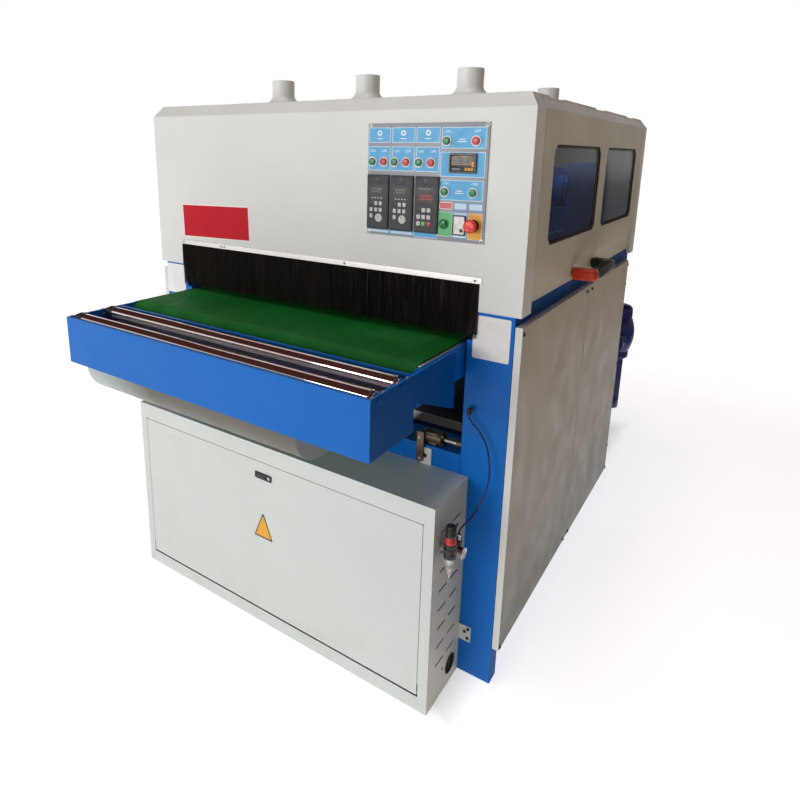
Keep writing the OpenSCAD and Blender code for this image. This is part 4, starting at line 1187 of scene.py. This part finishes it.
def air_regulator():
    """Filter bowl, ribbed regulator with knob, gauge, elbow and fittings."""
    piece = Piece("filter_regulator")
    low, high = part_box("air_regulator")
    x, y, z = high.x - 0.022, -1.042, 0.630
    column = move(x, y, z)
    piece.lathe([(0, -99.8), (2.8, -99.8), (3.4, -90), (6.2, -88), (6.8, -76), (5.5, -73.5),
                 (5.5, -69), (11.5, -66.5), (14.8, -60), (15.5, -53), (15.8, -20), (15.8, -14),
                 (0, -14)], BOWL, column, 32)
    piece.lathe([(0, -52), (4.5, -52), (8.5, -47), (9.2, -33), (8.5, -22), (0, -22)], WHITE,
                column, 20)
    piece.lathe([(0, -64.8), (13.2, -64), (14.6, -58), (0, -57.5)], BRASS, column)
    piece.lathe([(15, -24), (18.5, -23.5), (20, -20), (20.5, -14.5), (15, -14.5)], BLACK,
                column, 40)
    for rib in around(column, 20):
        piece.bit((18.3, -0.9, -23.5), (20.7, 0.9, -14.5), BLACK, rib, 0.3)
    piece.lathe([(12, -15), (20.5, -14.5), (21, -11.5), (21, -6), (19.6, -4), (19.6, 13),
                 (21, 15), (21, 24.5), (20, 29), (12, 29.2)], BLACK, column, 44)
    for face in around(column, 4):
        piece.bit((12, -12.5, -3), (20.8, 12.5, 12), BLACK, face, 1.2)
    piece.lathe([(10, 27.5), (18.6, 27.8), (19.2, 30), (18.8, 38), (17.2, 42), (17.2, 50),
                 (16, 52), (10, 52.5)], RED, column, 40)
    piece.lathe([(10, 51.5), (16.5, 51.8), (17.2, 53.5), (17.2, 64), (15.6, 66.5), (16, 86),
                 (14.6, 90), (12, 91.5), (0, 91.9)], BLACK, column, 40)
    for rib in around(column, 26):
        piece.bit((15.2, -0.75, 67.5), (17, 0.75, 87), BLACK, rib, 0.4)
    bracket = facing((low.x, y, z), X)
    reach = (x - low.x) / MM
    piece.lathe([(9.8, 0), (9.8, reach - 14), (7.5, reach - 12), (0, reach - 10)], BOLT,
                bracket, 6)
    piece.lathe([(17.5, 0), (17.5, 2), (16, 3), (9.8, 3)], BOLT, bracket, 28)
    out = HOSE_ROUTE[0][1]
    arm = (out - y) / MM
    piece.lathe([(8.6, 0), (8.6, 10), (7, 12), (7, 20), (8.6, 22), (8.6, arm - 19),
                 (0, arm - 18)], BLACK, facing((x, y + 0.018, z), Y))
    outlet = move(x, out, z)
    piece.bit((-9.5, -9.5, -13.5), (9.5, 9.5, 7.5), BLACK, outlet, 1.8)
    piece.lathe([(8.8, 7.2), (8.8, 13.2), (7, 14.2), (7, 16.2), (8.5, 17.2), (8.5, 24.4),
                 (6.4, 25.8), (5.2, 26), (5.2, 24.7), (0, 24.7)], BOLT, outlet, 28)
    piece.lathe([(6, -38), (6, -12)], BLACK, outlet, 20)
    gauge(piece, facing((x - 0.004, out, z - 0.038), X, math.pi / 2))
    hose_elbow(piece)
    piece.finish("machine", "black_plastic", ("air_regulator",))


def tracking_cylinder():
    """The roll tracking cylinder: ribbed barrel, end caps with tie rods, rod and lever."""
    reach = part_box("tracking_cylinder")[1].x
    piece = Piece("tracking_actuator")
    start, y, z = 0.518, -0.821, 0.888
    barrel, rod_end = 66, (reach - start) / MM
    spot = facing((start, y, z), X)
    piece.lathe([(10, -15.5), (12.5, -15.5), (15.5, -13), (15.5, 0), (24.5, 0), (25.8, 1.5),
                 (25.8, 11), (23.5, 12.5), (23.5, barrel - 14.5), (25.8, barrel - 13),
                 (25.8, barrel - 0.8), (27.8, barrel), (27.8, barrel + 6.8), (26.2, barrel + 8),
                 (15, barrel + 8), (10.5, barrel + 9.5), (10.5, rod_end)], BRONZE, spot, 48)
    for tie in around(spot, 4, 0.5):
        rod = tie @ move(0.0215, 0, 0)
        piece.lathe([(2.6, 2), (2.6, barrel)], BOLT, rod, 10)
        piece.lathe([(4, barrel + 7.9), (4, barrel + 10.8), (3, barrel + 11.5)], BOLT, rod, 6)
    for k in range(9):
        x = start + 0.084 + 0.0048 * k
        piece.lathe([(11, 0), (11.8, 0.6), (11.8, 3), (11, 3.6)], BOLT, facing((x, y, z), X))
    lever_x, lever_y, half, drop, top = 0.516, -0.849, 0.0138, 0.080, 0.0218
    outline = [(-half, top), (-half, -drop)]
    outline += [(-half * math.cos(math.pi * i / 10), -drop - half * math.sin(math.pi * i / 10))
                for i in range(1, 10)]
    outline += [(half, -drop), (half, top), (0.0100, top + 0.0001), (-0.0100, top + 0.0001)]
    piece.prism(outline, 0.0078, BRONZE, wall((lever_x, lever_y - 0.0001, z), -Y), 0.001)
    for bolt_z, r in ((z, 7.8), (z - drop, 5.5)):
        piece.hex_bolt((lever_x, lever_y - 0.008, bolt_z), -Y, r * 0.74, BOLT, bolt_z * 9)
    piece.lathe([(7.8, 0), (7.8, 26)], BOLT, facing((lever_x, lever_y, z), Y), 20)
    piece.box((0.538, y - 0.0155, 0.8602), (0.568, y + 0.0155, 0.8715), BRONZE, 0.0015)
    piece.finish("machine", "cylinder_bronze", ("tracking_cylinder",))


door_latch()
door_lip()
cabinet_details()
air_regulator()
tracking_cylinder()


# ---- drive and brushing heads ----

HEADS_Y = (-0.570, -0.190, 0.190, 0.570)


def gearmotor():
    """An upright geared motor: cowl, finned housing, flange and a round-shouldered case."""
    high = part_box("gearmotor")[1]
    x, y = high.x - 0.085, high.y - 0.085
    piece = Piece("gearmotor_cast")
    axis = move(x, y, 0)
    case = [(62 + 22.8 * math.sin(math.pi * k / 14) ** 0.8, 785 + 200 * k / 14)
            for k in range(15)]
    piece.lathe([(0, 431), (30, 431), (38.5, 433.5), (41.5, 440), (41.8, 500), (40, 503),
                 (39.5, 503), (39.5, 735), (41, 738), (41.8, 745), (56, 745.5), (62.5, 748),
                 (63.8, 753), (63.8, 781), *case, (65.5, 986.2), (65.2, 1020), (62, 1036),
                 (53, 1047), (40, 1052.5), (20, 1054.5), (0, 1054.8)], NAVY, axis, 64)
    for fin in around(axis, 22):
        piece.bit((38.5, -1.4, 506), (41.8, 1.4, 734), NAVY, fin, 0.4)
    for r in (9, 18, 27):
        piece.lathe([(r, 430.2), (r + 3, 430.2), (r + 3, 433), (r, 433), (r, 430.2)], NAVY,
                    axis, 40)
    box = axis @ turn(1.9)
    piece.bit((36, -30, 585), (66, 30, 672), NAVY, box, 3)
    for dy, z in ((-0.024, 0.592), (0.024, 0.592), (-0.024, 0.665), (0.024, 0.665)):
        piece.lathe([(3.2, 0), (3, 0.8), (0, 1)], BOLT,
                    box @ move(0.0658, dy, z) @ turn(math.pi / 2, "Y"), 10)
    for bolt in around(axis, 8, 0.5):
        piece.lathe([(3.6, 0), (3.6, 4), (2.8, 4.6)], BOLT,
                    bolt @ move(0.0525, 0, 0.7456) @ turn(math.pi, "X"), 6)
        piece.lathe([(4.6, 0), (4.6, 3.6), (3.6, 4.4)], STEEL,
                    bolt @ move(0.0825, 0, 0.8800) @ turn(math.pi / 2, "Y"), 6)
    plate_y = REAR[1].y
    piece.lathe([(0, 0), (59, 0), (59.5, 12), (56, 18), (52, 30), (52, 60), (59, 70), (59, 79)],
                NAVY, facing((x, plate_y, 0.860), Y), 56)
    piece.box((0.7004, plate_y, 0.7404), (0.8278, plate_y + 0.0118, 0.9796), NAVY, 0.0015)
    for bolt_x in (0.716, 0.812):
        for z in (0.756, 0.964):
            piece.hex_bolt((bolt_x, plate_y + 0.0116, z), Y, 7, BOLT, z)
    piece.finish("machine", "navy_paint", ("gearmotor",))


def head_motors():
    """Fins, end shields and boxes of the brushing head motors, seen through the windows."""
    piece = Piece("head_motor_fins")
    motor_z, fins = 1.715, 22
    for y in HEADS_Y:
        for side in (-1, 1):
            x0, x1 = sorted((side * 392, side * 628))
            for angle in (math.tau * k / fins for k in range(fins)):
                if math.cos(angle) >= -0.55:
                    piece.bit((x0, -1.3, 66), (x1, 1.3, 79), BLUE,
                              move(0, y, motor_z) @ turn(angle, "X"))
            x = side * 0.50
            piece.box((x - 0.05, y - 0.045, 1.780), (x + 0.05, y + 0.045, 1.812), BLUE, 0.004)
            piece.lathe([(0, 0), (58, 0), (56, 4), (30, 8), (18, 9), (18, 22), (0, 22)], GREY,
                        facing((side * 0.660, y, motor_z), X * side), 32)
        for x in (-0.60, -0.36, -0.12, 0.12, 0.36, 0.60):
            for dy in (-0.078, 0.078):
                piece.hex_bolt((x, y + dy, 1.650), Z, 9, BOLT, x)
    piece.finish("machine", "blue_paint")


def brush_rolls():
    """Rolls of spiral-wound fibre on steel shafts, one under each head."""
    low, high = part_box("brush_rolls")
    z = (low.z + high.z) / 2
    piece = Piece("wound_brush_rolls")
    half, sides, steps = 0.6645, 72, 150
    length = 2 * high.x / MM - 0.6
    for y in HEADS_Y:
        part = bmesh.new()
        rings = []
        for i in range(steps + 1):
            x = -half + 2 * half * i / steps
            ring = []
            for angle in (math.tau * k / sides for k in range(sides)):
                wave = math.sin(angle * 3 + x * 150) * 0.5 + 0.5
                radius = 0.0660 if i in (0, steps) else 0.0745 - 0.0055 * wave ** 2
                ring.append(part.verts.new((x, radius * math.cos(angle), radius * math.sin(angle))))
            rings.append(ring)
        skin(part, rings)
        piece.add(part, FIBRE, move(0, y, z))
        piece.lathe([(0, 0), (19, 0), (20, 1), (20, length - 1), (19, length), (0, length)],
                    STEEL, facing((0.0003 - high.x, y, z), X), 32)
    piece.finish("machine", "brush_brown", ("brush_rolls",), 60)


gearmotor()
head_motors()
brush_rolls()


# ---- light and surroundings ----

def area_light(name, place, target, size, power, color):
    data = bpy.data.lights.new(name, "AREA")
    data.shape = "RECTANGLE"
    data.size, data.size_y = size
    data.energy, data.color = power, color
    light = show(name, data)
    light.location = place
    light.rotation_euler = (Vector(target) - Vector(place)).to_track_quat("-Z", "Y").to_euler()


def studio_world():
    """White to the camera; what it lights is dimmer to the right and dark brown overhead."""
    world = bpy.data.worlds.new("studio")
    bpy.context.scene.world = world
    world.use_nodes = True
    tree = Tree(world)
    white = (1.0, 1.0, 1.0, 1.0)
    place = tree.node("TexCoord", {}, "Generated")
    side = tree.blend(tree.span(tree.axis(place, "X"), 0.10, 0.30), white, (0.42, 0.37, 0.32, 1.0))
    light = tree.blend(tree.span(tree.axis(place, "Z"), 0.20, 0.42), side,
                       (0.060, 0.020, 0.018, 1.0))
    background = tree.nodes["Background"].inputs
    tree.feed(background["Color"], tree.blend(tree.camera_ray(), light, white))
    background["Strength"].default_value = 1.0


def stage():
    """A plain pale floor with a painted shadow under and behind the machine; what lies far to the
    right lights nothing.
    """
    finish = Finish("floor", (0.8, 0.8, 0.79, 1.0), 0.6)
    x, y, span = finish.along("X"), finish.along("Y"), finish.span

    def larger(first, second):
        return finish.math("MAXIMUM", first, second)

    # Painted shadow: the floor turns near black under the machine and behind it, fading out at the
    # edges.
    lit = larger(larger(span(x, 0.46, 0.80), span(x, -0.50, -0.80)),
                 larger(span(y, 1.12, 1.85), span(y, -0.91, -1.08)))
    lit = finish.math("MULTIPLY", lit, larger(span(x, 1.90, 2.25, 1.0, 0.06),
                                              finish.camera_ray()))
    far = larger(larger(span(x, 1.8, 3.2), span(x, -1.8, -3.2)),
                 larger(span(y, 2.2, 4.0), span(y, -2.2, -4.0)))
    pale = finish.blend(finish.noise(0.9, 5.0), (0.80, 0.80, 0.79, 1.0), (0.86, 0.86, 0.85, 1.0))
    finish.color(finish.blend(lit, (0.03, 0.03, 0.04, 1.0), pale))
    finish.rough(finish.noise(3.0), 0.5, 0.7)
    finish.bump(finish.noise(60.0), 0.0005, 0.2)
    bright = finish.blend(far, (0.80, 0.80, 0.80, 1.0), (0.98, 0.98, 0.98, 1.0))
    # The painted shadow also puts out the floor's glow there.
    finish.feed(finish.shader["Emission Color"],
                finish.blend(lit, (0.0, 0.0, 0.0, 1.0), bright))
    finish.shader["Emission Strength"].default_value = 0.94
    part = bmesh.new()
    bmesh.ops.create_grid(part, x_segments=4, y_segments=4, size=60.0)
    data = bpy.data.meshes.new("floor")
    part.to_mesh(data)
    part.free()
    data.materials.append(finish.material)
    show("floor", data)


studio_world()
stage()
area_light("key", (-2.4, -9.0, 3.0), (0, -0.8, 1.3), (5.0, 3.0), 262, (1.0, 0.99, 0.98))
area_light("ceiling", (0.3, -1.3, 6.5), (0.3, -1.3, 0.0), (1.6, 1.2), 70, (1.0, 0.98, 0.95))
area_light("inside_hood", (0.745, 0.0, 2.0), (0.60, 0.0, 1.6), (1.3, 0.05), 1.6, (0.9, 0.95, 1.0))
bpy.context.scene.view_settings.view_transform = "Standard"
